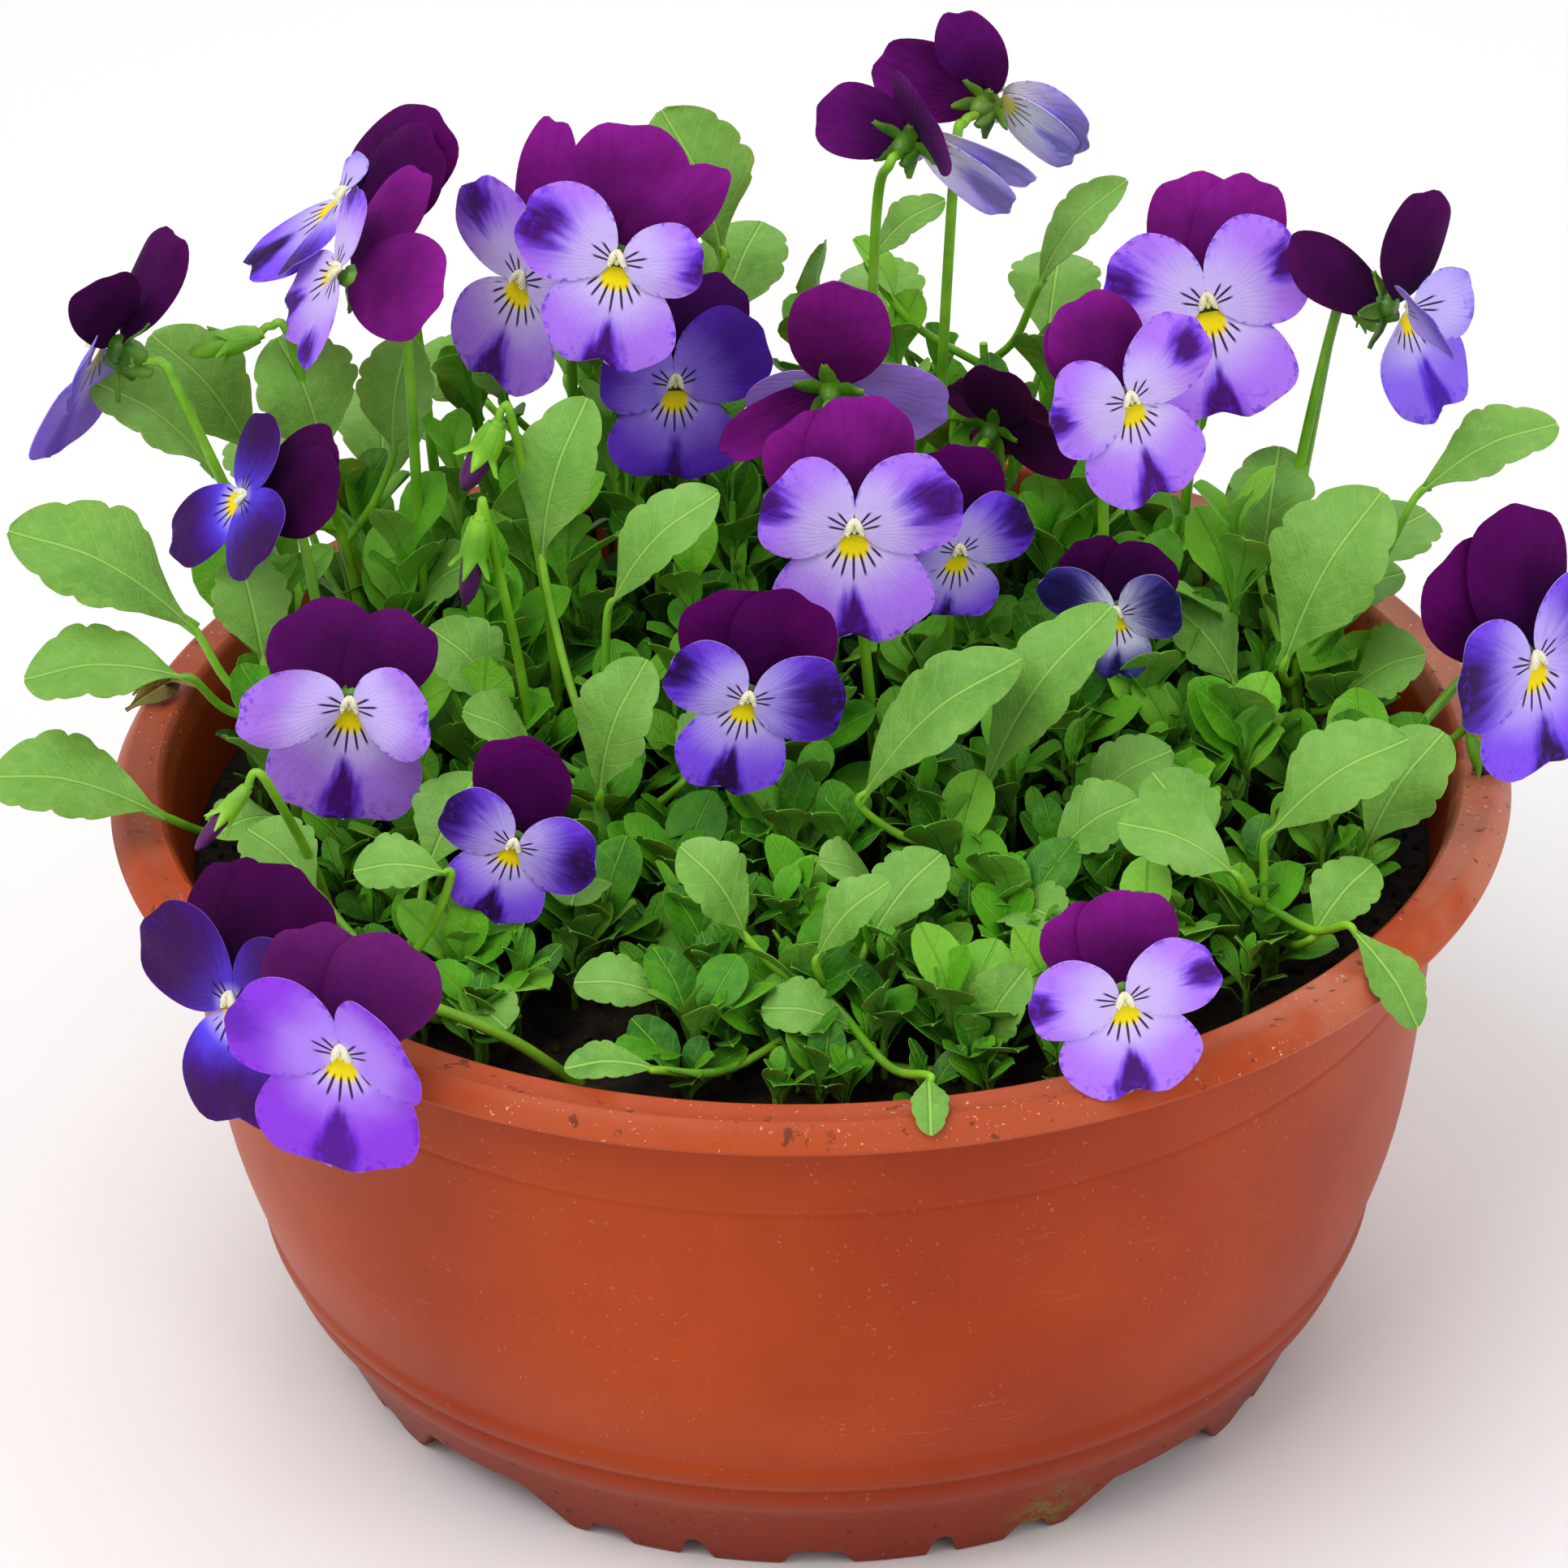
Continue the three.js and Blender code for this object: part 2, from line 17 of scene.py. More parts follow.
import bmesh
import bpy
import numpy as np
from mathutils import Matrix, Vector, noise

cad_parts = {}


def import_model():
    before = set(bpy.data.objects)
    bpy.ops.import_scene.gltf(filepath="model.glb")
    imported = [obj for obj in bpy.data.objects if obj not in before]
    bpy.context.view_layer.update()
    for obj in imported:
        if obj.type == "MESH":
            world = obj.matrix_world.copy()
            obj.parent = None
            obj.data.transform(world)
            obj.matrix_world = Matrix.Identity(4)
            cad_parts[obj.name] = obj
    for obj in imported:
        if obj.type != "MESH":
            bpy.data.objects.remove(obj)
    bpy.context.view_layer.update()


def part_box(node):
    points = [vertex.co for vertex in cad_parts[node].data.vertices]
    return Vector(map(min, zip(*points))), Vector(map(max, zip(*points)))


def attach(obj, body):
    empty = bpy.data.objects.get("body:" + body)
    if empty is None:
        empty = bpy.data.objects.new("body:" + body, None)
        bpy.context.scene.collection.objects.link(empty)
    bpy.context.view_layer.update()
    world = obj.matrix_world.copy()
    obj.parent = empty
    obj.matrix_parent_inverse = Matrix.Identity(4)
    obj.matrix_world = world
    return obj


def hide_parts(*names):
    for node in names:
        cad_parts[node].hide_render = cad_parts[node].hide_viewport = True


LOG = logging.getLogger("planter")
MM = 0.001
BODY = "root"
FULL_TURN = 6.28
SMALL = 1e-12
WELD = 0.00001

Points = np.ndarray
Colour = tuple[int, int, int]
Place = tuple[float, float, float]


# Small helpers
def linear(*colour: int) -> tuple[float, ...]:
    """The linear red, green, blue and alpha of a display colour of 0 to 255."""
    shares = [c / 255 for c in colour]
    return (*((s / 12.92 if s <= 0.04 else ((s + 0.055) / 1.055) ** 2.4) for s in shares), 1.0)


def smooth_path(stops: Sequence[Sequence[float]], steps: int) -> Points:
    """Run a smooth curve through some stops.

    Args:
        stops: The points to pass through.
        steps: How many pieces each span is cut into.

    Returns:
        An array with one row for each point of the curve.
    """
    knots = np.asarray(stops, float)
    padded = np.vstack([2 * knots[0] - knots[1], knots, 2 * knots[-1] - knots[-2]])
    rows = []
    for before, start, end, after in zip(padded, padded[1:], padded[2:], padded[3:]):
        for t in (step / steps for step in range(steps)):
            bend = (2 * before - 5 * start + 4 * end - after) * t**2
            rows.append(0.5 * (2 * start + (end - before) * t + bend
                               + (3 * start - before - 3 * end + after) * t**3))
    return np.array([*rows, knots[-1]])


def ease(value: Points, low: float, high: float) -> Points:
    """Rise smoothly from 0 at low to 1 at high."""
    share = np.clip((value - low) / (high - low), 0, 1)
    return share * share * (3 - 2 * share)


def unit(vector: Points) -> Points:
    """The vector at a length of 1."""
    return vector / np.linalg.norm(vector)


# Meshes
@dataclass
class MeshBatch:
    """Surfaces gathered into one mesh, each with its maps.

    The flat map holds a blade's own millimetres over MAP_SPAN, the sheet map its share across and
    along. The tone attribute varies from blade to blade, and under is 1 on a blade's lower side.
    ASKEW is a direction that no tube starts along.
    """

    MAP_SPAN = 80.0
    ASKEW = (0.31, 0.77, 0.55)

    points: list[Points] = field(default_factory=list)
    faces: list[tuple[int, ...]] = field(default_factory=list)
    slots: list[int] = field(default_factory=list)
    flat: list[Points] = field(default_factory=list)
    sheet: list[Points] = field(default_factory=list)
    tone: list[Points] = field(default_factory=list)
    under: list[Points] = field(default_factory=list)
    count: int = 0

    def add(self, points: Points, faces: Iterable[tuple[int, ...]], flat: Points, slot: int,
            tone: float, under: float = 0.0) -> int:
        """Add a grid of points and its faces.

        Args:
            points: Rows, columns and the three coordinates, in millimetres.
            faces: Corners of each face, counted from the first of these points.
            flat: Rows, columns and the flat position of each point, in millimetres.
            slot: The material slot of the faces.
            tone: The tone of this surface.
            under: 1 for a lower side, 0 for an upper one.

        Returns:
            The number of the first point added.
        """
        rows, columns = points.shape[:2]
        first, size = self.count, rows * columns
        made = [tuple(first + corner for corner in face) for face in faces]
        self.points.append(points.reshape(-1, 3))
        self.faces += made
        self.slots += [slot] * len(made)
        self.flat.append(flat.reshape(-1, 2))
        self.sheet.append(self._shares(rows, columns).reshape(-1, 2))
        self.tone.append(np.full(size, tone))
        self.under.append(np.full(size, under))
        self.count += size
        return first

    @staticmethod
    def _shares(rows: int, columns: int) -> Points:
        """How far across and along each point of a grid is, from 0 to 1."""
        grids = np.meshgrid(np.linspace(0, 1, columns), np.linspace(0, 1, rows))
        return np.stack(grids, axis=-1)

    def grid(self, points: Points, ends: bool = False, tone: float = 0.5, along: float = 0.0,
             slot: int = 0) -> None:
        """Add a grid whose last column joins the first, such as a tube or a turned shape.

        Args:
            points: Rows, columns and the three coordinates.
            ends: True to close the first and last row with a face.
            tone: The tone of the surface.
            along: Length in millimetres, for the flat map.
            slot: The material slot.
        """
        rows, columns = points.shape[:2]
        at = np.arange(rows * columns).reshape(rows, columns)
        after = np.roll(at, -1, axis=1)
        corners = np.stack([at[:-1], after[:-1], after[1:], at[1:]], axis=-1).reshape(-1, 4)
        faces = corners.tolist()
        if ends:
            faces += [at[0, ::-1].tolist(), at[-1].tolist()]
        self.add(points, faces, self._shares(rows, columns) * [0.0, along], slot, tone)

    def shell(self, points: Points, thickness: Points, flat: Points, slot: int = 0,
              tone: float = 0.5) -> None:
        """Add a thin closed sheet from its upper side.

        Args:
            points: Rows, columns and the three coordinates of the upper side.
            thickness: Rows and columns, how thick the sheet is.
            flat: Rows, columns and the two flat coordinates.
            slot: The material slot.
            tone: The tone of the sheet.
        """
        rows, columns = points.shape[:2]
        normal = np.cross(np.gradient(points, axis=1), np.gradient(points, axis=0))
        normal /= np.linalg.norm(normal, axis=-1, keepdims=True) + SMALL
        lower = points - normal * thickness[..., None]
        at = np.arange(rows * columns).reshape(rows, columns)
        corners = np.stack([at[:-1, :-1], at[:-1, 1:], at[1:, 1:], at[1:, :-1]], axis=-1)
        corners = corners.reshape(-1, 4)
        top = self.add(points, corners.tolist(), flat, slot, tone)
        bottom = self.add(lower, corners[:, ::-1].tolist(), flat, slot, tone, 1.0)
        edge = [*at[0, :], *at[1:, -1], *at[-1, -2::-1], *at[-2:0:-1, 0]]
        for here, after in zip(edge, edge[1:] + edge[:1]):
            self.faces.append((top + after, top + here, bottom + here, bottom + after))
            self.slots.append(slot)

    def tube(self, stops: Sequence[Sequence[float]], radii: Sequence[float], steps: int,
             sides: int = 8, slot: int = 0, tone: float = 0.5) -> None:
        """Add a closed tube along a smooth curve.

        Args:
            stops: The points that the curve passes through.
            radii: Radii along the tube, spread evenly from its start to its end.
            steps: Pieces in each span of the curve.
            sides: Sides of the tube.
            slot: The material slot.
            tone: The tone of the tube.
        """
        path = smooth_path(stops, steps)
        ahead = np.gradient(path, axis=0)
        ahead /= np.linalg.norm(ahead, axis=1, keepdims=True) + SMALL
        side = np.cross(ahead[0], self.ASKEW)
        shares = np.linspace(0, 1, len(path))
        size = np.interp(shares, np.linspace(0, 1, len(radii)), radii)
        turns = np.linspace(0, 2 * np.pi, sides, endpoint=False)[:, None]
        rings = []
        for point, axis, radius in zip(path, ahead, size):
            side = unit(side - axis * np.dot(side, axis))
            other = np.cross(axis, side)
            rings.append(point + radius * (np.cos(turns) * side + np.sin(turns) * other))
        length = float(np.linalg.norm(np.diff(path, axis=0), axis=1).sum())
        self.grid(np.array(rings), True, tone, length, slot)

    def build(self, name: str, finishes: Sequence[bpy.types.Material],
              crease: float = 60.0) -> bpy.types.Object:
        """Write the mesh as an object.

        Args:
            name: The object's name.
            finishes: A material for each slot.
            crease: Edges sharper than this many degrees stay sharp.

        Returns:
            The new object, linked to the scene.
        """
        mesh = bpy.data.meshes.new(name)
        mesh.from_pydata((np.vstack(self.points) * MM).tolist(), [], self.faces)
        corners = np.zeros(len(mesh.loops), dtype=np.int32)
        mesh.loops.foreach_get("vertex_index", corners)
        flat = np.vstack(self.flat) * (1 / self.MAP_SPAN) + 0.5
        for title, rows in (("flat", flat), ("sheet", np.vstack(self.sheet))):
            values = rows[corners].astype(np.float32).ravel()
            mesh.uv_layers.new(name=title).data.foreach_set("uv", values)
        for title, rows in (("tone", self.tone), ("under", self.under)):
            layer = mesh.attributes.new(title, "FLOAT", "POINT")
            layer.data.foreach_set("value", np.concatenate(rows))
        mesh.polygons.foreach_set("material_index", self.slots)
        for finish in finishes:
            mesh.materials.append(finish)
        return settle(name, mesh, crease)


def place_object(name: str, data: Any) -> bpy.types.Object:
    """Link a new object to the scene."""
    made = bpy.data.objects.new(name, data)
    bpy.context.scene.collection.objects.link(made)
    return made


def face_outwards(mesh: bpy.types.Mesh, weld: bool = False) -> None:
    """Turn a mesh's faces outwards.

    Args:
        mesh: The mesh.
        weld: True to join points that lie in one place first.
    """
    work = bmesh.new()
    work.from_mesh(mesh)
    if weld:
        bmesh.ops.remove_doubles(work, verts=work.verts, dist=WELD)
    bmesh.ops.recalc_face_normals(work, faces=work.faces)
    work.to_mesh(mesh)
    work.free()


def settle(name: str, mesh: bpy.types.Mesh, crease: float) -> bpy.types.Object:
    """Turn a mesh's faces outwards, smooth it and link it to the scene as an object."""
    face_outwards(mesh)
    mesh.polygons.foreach_set("use_smooth", [True] * len(mesh.polygons))
    mesh.set_sharp_from_angle(angle=math.radians(crease))
    return place_object(name, mesh)


def mount(piece: bpy.types.Object, slot: str, *nodes: str) -> None:
    """Ride a piece on the body and hide the frame's sub-parts that it stands for.

    Args:
        piece: The piece.
        slot: Not used.
        nodes: The frame's nodes that it stands for.
    """
    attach(piece, BODY)
    if nodes:
        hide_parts(*nodes)
    LOG.info("%s: %d faces", piece.name, len(piece.data.polygons))


# Node trees
def operator(operation: str, turned: bool = False) -> Callable[..., Number]:
    """A method that works on a number and another one.

    Args:
        operation: The maths node's operation.
        turned: True where the other number comes first.

    Returns:
        The method.
    """
    def work(this: Number, other: Any = 0.0) -> Number:
        """Add the node for this operation."""
        pair = (other, this) if turned else (this, other)
        return this.sheet.number("ShaderNodeMath", dict(enumerate(pair)), operation=operation)

    return work


@dataclass(frozen=True, eq=False)
class Number:
    """A number in a node tree: arithmetic on it adds nodes to the tree."""

    sheet: NodeSheet
    socket: bpy.types.NodeSocket

    __add__, __radd__ = operator("ADD"), operator("ADD", True)
    __sub__, __rsub__ = operator("SUBTRACT"), operator("SUBTRACT", True)
    __mul__, __rmul__ = operator("MULTIPLY"), operator("MULTIPLY", True)
    __truediv__, __pow__, __abs__ = operator("DIVIDE"), operator("POWER"), operator("ABSOLUTE")
    most, least, bearing = operator("MAXIMUM"), operator("MINIMUM"), operator("ARCTAN2")
    root, cosine = operator("SQRT"), operator("COSINE")

    def step(self, low: float, high: float) -> Number:
        """A smooth step from 0 at low to 1 at high, or down again where high is less."""
        inputs = {0: self, 1: low, 2: high, 3: 0.0, 4: 1.0}
        return self.sheet.number("ShaderNodeMapRange", inputs, interpolation_type="SMOOTHSTEP")


@dataclass
class NodeSheet:
    """Adds nodes to a tree and joins them up as they are made."""

    tree: bpy.types.NodeTree

    def node(self, kind: str, inputs: Mapping[Any, Any] | None = None, **settings: Any
             ) -> bpy.types.Node:
        """Add a node.

        Args:
            kind: The node's type.
            inputs: What goes into each input, by name or number: a number, a socket or a constant.
            **settings: Properties of the node.

        Returns:
            The new node.
        """
        made = self.tree.nodes.new(kind)
        for name, value in settings.items():
            setattr(made, name, value)
        for key, value in (inputs or {}).items():
            value = value.socket if isinstance(value, Number) else value
            if isinstance(value, bpy.types.NodeSocket):
                self.tree.links.new(value, made.inputs[key])
            else:
                made.inputs[key].default_value = value
        return made

    def number(self, kind: str, inputs: Mapping[Any, Any], output: Any = 0, **settings: Any
               ) -> Number:
        """Add a node and take one of its outputs as a number.

        Args:
            kind: The node's type.
            inputs: What goes into each input.
            output: The name or number of the output.
            **settings: Properties of the node.

        Returns:
            The number.
        """
        return Number(self, self.node(kind, inputs, **settings).outputs[output])

    def axes(self, vector: Any) -> list[Number]:
        """The three numbers of a vector."""
        parts = self.node("ShaderNodeSeparateXYZ", {0: vector}).outputs
        return [Number(self, part) for part in parts]

    def vector(self, *parts: Any) -> bpy.types.NodeSocket:
        """A vector of three numbers."""
        return self.node("ShaderNodeCombineXYZ", dict(enumerate(parts))).outputs[0]

    def distance(self, where: Any, place: Place) -> Number:
        """How far coordinates are from a place."""
        return self.number("ShaderNodeVectorMath", {0: where, 1: place}, "Value",
                           operation="DISTANCE")


@dataclass
class Surface(NodeSheet):
    """A material's tree, with the colour laid down so far."""

    material: bpy.types.Material
    colour: Any

    @classmethod
    def named(cls, name: str, colour: Colour) -> Surface:
        """Start a material with an empty tree and its first colour."""
        material = bpy.data.materials.new(name)
        material.use_nodes = True
        material.node_tree.nodes.clear()
        return cls(material.node_tree, material, linear(*colour))

    @cached_property
    def place(self) -> bpy.types.NodeSocket:
        """The object's own coordinates, in metres."""
        return self.node("ShaderNodeTexCoord").outputs["Object"]

    def chart(self, name: str) -> list[Number]:
        """The numbers of one of the mesh's maps."""
        return self.axes(self.node("ShaderNodeUVMap", uv_map=name).outputs[0])

    def flat(self) -> list[Number]:
        """Millimetres across and along a blade."""
        span = MeshBatch.MAP_SPAN
        return [share * span - span / 2 for share in self.chart("flat")[:2]]

    def fan(self) -> list[Number]:
        """Millimetres across and along a petal, the angle round its root and the way from it."""
        across, along = self.flat()
        return [across, along, across.bearing(along), (across ** 2.0 + along ** 2.0).root()]

    def attribute(self, name: str) -> Number:
        """A number that the mesh carries."""
        return self.number("ShaderNodeAttribute", {}, "Fac", attribute_name=name)

    def noise(self, scale: float, detail: float = 3.0, rough: float = 0.55, where: Any = None
              ) -> Number:
        """A noise of 0 to 1.

        Args:
            scale: Its scale.
            detail: Its detail.
            rough: Its roughness.
            where: Its coordinates, the object's own unless given.

        Returns:
            The noise.
        """
        return self.number("ShaderNodeTexNoise", {
            "Vector": self.place if where is None else where, "Scale": scale, "Detail": detail,
            "Roughness": rough})

    def stretched(self, *scale: float) -> bpy.types.NodeSocket:
        """The object's own coordinates, scaled along each axis."""
        return self.node("ShaderNodeMapping", {0: self.place, 3: scale}).outputs[0]

    def coat(self, share: Any, colour: Colour) -> None:
        """Lay a colour over what is there, as far as the share says."""
        inputs = {0: share, 6: self.colour, 7: linear(*colour)}
        self.colour = self.node("ShaderNodeMix", inputs, data_type="RGBA").outputs[2]

    def sink(self, deep: Colour, share: float) -> None:
        """Darken the colour low down among the leaves, where little light comes.

        Args:
            deep: The colour at the soil.
            share: How much of it shows there.
        """
        slope, ripple, clear, dark = 0.12, 0.034, 0.160, 0.126
        _, back, up = self.axes(self.place)
        level = up - back * slope + self.noise(50.0) * ripple
        self.coat(level.step(clear, dark) * share, deep)

    def finish(self, rough: Any, height: Any = None, lift: float = 0.0, **constants: float
               ) -> bpy.types.Material:
        """End the tree in a surface.

        Args:
            rough: Roughness.
            height: Height of the relief, 0 to 1, or None.
            lift: The relief's depth in metres.
            **constants: More inputs of the surface, with _ for each space.

        Returns:
            The material.
        """
        inputs: dict[Any, Any] = {"Base Color": self.colour, "Roughness": rough}
        inputs |= {name.replace("_", " "): value for name, value in constants.items()}
        if height is not None:
            relief = {"Height": height, "Distance": lift, "Strength": 1.0}
            inputs["Normal"] = self.node("ShaderNodeBump", relief).outputs[0]
        surface = self.node("ShaderNodeBsdfPrincipled", inputs)
        self.node("ShaderNodeOutputMaterial", {"Surface": surface.outputs[0]})
        return self.material


# Finishes
@dataclass(frozen=True)
class BowlPlastic:
    """Terracotta-coloured plastic: soft sheen, scuffs, rim specks, dirt at the foot, painted shade
    low down and under the lip.

    The heights and the stain's place are in metres.
    """

    body: Colour = (178, 66, 8)
    # Darker tone, laid in random clouds and also as the painted shade in a band under the lip.
    deep: Colour = (148, 44, 2)
    rim: Colour = (176, 64, 8)
    dust: Colour = (222, 176, 150)
    dirt: Colour = (70, 38, 18)
    moss: Colour = (110, 98, 44)
    # Painted shade: the bowl darkens towards the bottom.
    foot: Colour = (118, 28, 0)
    rim_height: float = 0.1215
    # Heights of painted shade: a band under the overhanging lip, then darkening towards the bottom.
    lip_shade: Sequence[float] = (0.106, 0.12, 0.1225, 0.121)
    shaded_foot: Sequence[float] = (0.05, 0.004)
    dirty_foot: Sequence[float] = (0.024, 0.012)
    dusty_side: Sequence[float] = (0.03, 0.11)
    stain: Place = (0.045, -0.094, 0.007)

    def material(self) -> bpy.types.Material:
        """Build the material."""
        sheet = Surface.named("bowl_plastic", self.body)
        right, _, height = sheet.axes(sheet.place)
        cloud = sheet.noise(9.0, 4.0)
        rim = height.step(self.rim_height, self.rim_height + 0.002)
        # A band just under the lip, darkened as painted shade.
        lip_shade = height.step(*self.lip_shade[:2]) * height.step(*self.lip_shade[2:])
        lines = sheet.noise(3.0, 5.0, 0.7, sheet.stretched(30.0, 30.0, 230.0))
        scuff = lines.step(0.58, 0.75) * sheet.noise(22.0, 2.0).step(0.5, 0.7)
        edge = sheet.noise(26.0, 4.0).step(0.36, 0.62) * rim
        dusty = right.step(*self.dusty_side) * 0.2 + 0.06
        patch = sheet.noise(40.0).step(0.42, 0.6)
        worn = sheet.noise(1000.0, 2.0).step(0.66, 0.72) * (patch * (rim + 0.22))
        soiled = sheet.noise(330.0, 5.0, 0.7).step(0.6, 0.68) * height.step(*self.dirty_foot)
        mud = sheet.noise(300.0, 4.0).step(0.63, 0.7) * (rim * 0.7)
        near = sheet.distance(sheet.place, self.stain).step(0.013, 0.003)
        mossy = near * sheet.noise(220.0, 5.0, 0.8).step(0.42, 0.58)
        for share, colour in (
            (cloud.step(0.35, 0.75), self.deep), (rim * 0.75, self.rim),
            # Painted shade: darker towards the bottom, and a darker band under the lip.
            (height.step(*self.shaded_foot) * 0.85, self.foot), (lip_shade * 0.5, self.deep),
            (scuff * 0.22, self.dust), (edge * dusty, self.dust), (worn.least(0.85), self.dust),
            (soiled * 0.8, self.dirt), (mud, self.dirt), (mossy * 0.9, self.moss),
        ):
            sheet.coat(share, colour)
        relief = sheet.noise(1500.0, 2.0) * 0.12 + scuff * 0.5
        return sheet.finish(cloud * 0.16 + soiled * 0.3 + 0.36, relief, 0.00012,
                            Specular_IOR_Level=0.2)


@dataclass(frozen=True)
class Earth:
    """Dark, damp potting mix with paler fibres."""

    dark: Colour = (12, 9, 5)
    brown: Colour = (46, 34, 20)
    fibre: Colour = (110, 86, 56)

    def material(self) -> bpy.types.Material:
        """Build the material."""
        sheet = Surface.named("potting_mix", self.dark)
        coarse = sheet.noise(180.0, 6.0, 0.7)
        fibres = sheet.noise(420.0, where=sheet.stretched(4.0, 0.7, 1.0))
        sheet.coat(coarse.step(0.38, 0.68), self.brown)
        sheet.coat(fibres.step(0.68, 0.74) * 0.6, self.fibre)
        return sheet.finish(0.92, coarse, 0.0012, Specular_IOR_Level=0.25)


@dataclass(frozen=True)
class Foliage:
    """Green blade of a leaf: pale veins, a lighter underside, tones from leaf to leaf, and painted
    shade low among the leaves.

    Attributes:
        name: The finish's name.
        dark: The darkest leaves.
        mid: The leaves between.
        bright: The palest leaves.
        under: The undersides.
        vein: The veins.
        vein_width: Half width of the midrib in millimetres.
        vein_share: How far the veins differ.
        side_share: How strong the side veins are beside the midrib.
        rib_step: Millimetres from one side vein to the next.
        fresh: The blade near its foot.
        deep: Painted shade: the colour low among the leaves, where little light comes.
        low_shade_share: How much of it shows there.
    """

    name: str
    dark: Colour
    mid: Colour
    bright: Colour
    under: Colour = (140, 184, 104)
    vein: Colour = (158, 208, 92)
    vein_width: float = 0.62
    vein_share: float = 0.72
    side_share: float = 0.2
    rib_step: float = 5.2
    fresh: Colour = (118, 178, 44)
    # Painted shade, laid low among the leaves where little light comes.
    deep: Colour = (14, 52, 2)
    low_shade_share: float = 0.4

    def material(self) -> bpy.types.Material:
        """Build the material."""
        sheet = Surface.named(self.name, self.dark)
        across, along = sheet.flat()
        wide, cloud = abs(across), sheet.noise(60.0)
        shade = sheet.attribute("tone") + (cloud - 0.5) * 1.1
        rib = wide.step(self.vein_width, self.vein_width * 0.25)
        wave = (along - wide * 0.9 + cloud * 5.0) * (2 * math.pi / self.rib_step)
        side = wave.cosine().step(0.9, 0.995) * self.side_share
        net = sheet.number("ShaderNodeTexVoronoi", {"Vector": sheet.place, "Scale": 620.0},
                           "Distance", feature="DISTANCE_TO_EDGE")
        veins = rib.most(side).most(net.step(0.12, 0.02) * 0.12)
        for share, colour in (
            (shade.step(0.0, 0.55), self.mid), (shade.step(0.5, 1.05), self.bright),
            (along.step(9.0, 0.0) * 0.45, self.fresh),
            (sheet.noise(420.0).step(0.45, 0.7) * 0.18, self.vein),
            (veins * self.vein_share, self.vein), (sheet.attribute("under") * 0.7, self.under),
        ):
            sheet.coat(share, colour)
        # Painted shade low among the leaves.
        sheet.sink(self.deep, self.low_shade_share)
        relief = sheet.noise(190.0, 2.0) * 0.9 - veins * 0.55
        return sheet.finish(cloud * 0.16 + 0.42, relief, 0.0006, Specular_IOR_Level=0.28,
                            Subsurface_Weight=0.12, Subsurface_Scale=0.002)


@dataclass(frozen=True)
class GreenStem:
    """Smooth green of stalks, petioles, sepals and buds, with a tint in places and painted shade
    low among the leaves.
    """

    name: str = "green_stem"
    base: Colour = (96, 164, 18)
    light: Colour = (144, 206, 44)
    blush: Colour = (104, 70, 66)
    blush_share: float = 0.15
    # Painted shade, laid low among the leaves where little light comes.
    deep: Colour = (18, 48, 4)
    low_shade_share: float = 0.7

    def material(self) -> bpy.types.Material:
        """Build the material."""
        sheet = Surface.named(self.name, self.base)
        sheet.coat(sheet.noise(70.0).step(0.3, 0.7), self.light)
        sheet.coat(sheet.noise(45.0, 2.0).step(0.52, 0.7) * self.blush_share, self.blush)
        # Painted shade low among the leaves.
        sheet.sink(self.deep, self.low_shade_share)
        ridges = sheet.noise(1400.0, where=sheet.stretched(1.0, 1.0, 0.12))
        return sheet.finish(0.42, ridges, 0.00015, Specular_IOR_Level=0.45,
                            Subsurface_Weight=0.1, Subsurface_Scale=0.0015)


@dataclass(frozen=True)
class Throat:
    """The middle of a petal; lengths in millimetres and angles in radians.

    Attributes:
        spread: Angle from one whisker to the next.
        tip: How far out the whiskers end.
        thick: How thick they are at the root: less is thicker.
        fan: How far to each side they stand.
        taper: How much sooner they end for each radian to the side.
        start: Where they begin.
        turn: Turn of the whiskers.
        coats: Colours under them: start, end, strength, and two half widths where it is narrow.
    """

    spread: float
    tip: float
    thick: float
    fan: float
    taper: float
    start: Sequence[float]
    turn: float
    coats: Sequence[tuple[Colour, float, float, float, Sequence[float]]]

    def lay(self, sheet: Surface, fan: Sequence[Number]) -> None:
        """Add the yellow or white throat and the dark whiskers.

        Args:
            sheet: The petal's finish.
            fan: The petal's four measures.
        """
        across, _, angle, far = fan
        turned = angle + self.turn
        wide = abs(turned)
        rays = (turned * (2 * math.pi / self.spread)).cosine()
        thin = far * ((1 - self.thick) / self.tip) + self.thick
        window = (self.tip - wide * self.taper - far).step(0.0, 1.2) * (
            far.step(*self.start) * wide.step(self.fan + 0.1, self.fan))
        for colour, low, high, share, narrow in self.coats:
            glow = far.step(low, high) * share
            sheet.coat(glow * abs(across).step(*narrow) if narrow else glow, colour)
        sheet.coat((rays - thin).step(-0.2, 0.14) * window * 0.96, (26, 4, 58))


LOWER_THROAT = Throat(0.25, 10.8, 0.0, 0.95, 3.4, (4.2, 5.6), 0.0, (
    ((226, 208, 248), 10.0, 5.0, 0.6, ()), ((250, 222, 10), 6.8, 5.0, 1.0, (3.5, 2.3))))
SIDE_THROAT = Throat(0.34, 6.6, -0.3, 0.5, 3.2, (1.3, 2.2), 0.12, (
    ((222, 206, 244), 5.0, 1.6, 0.5, ()),))


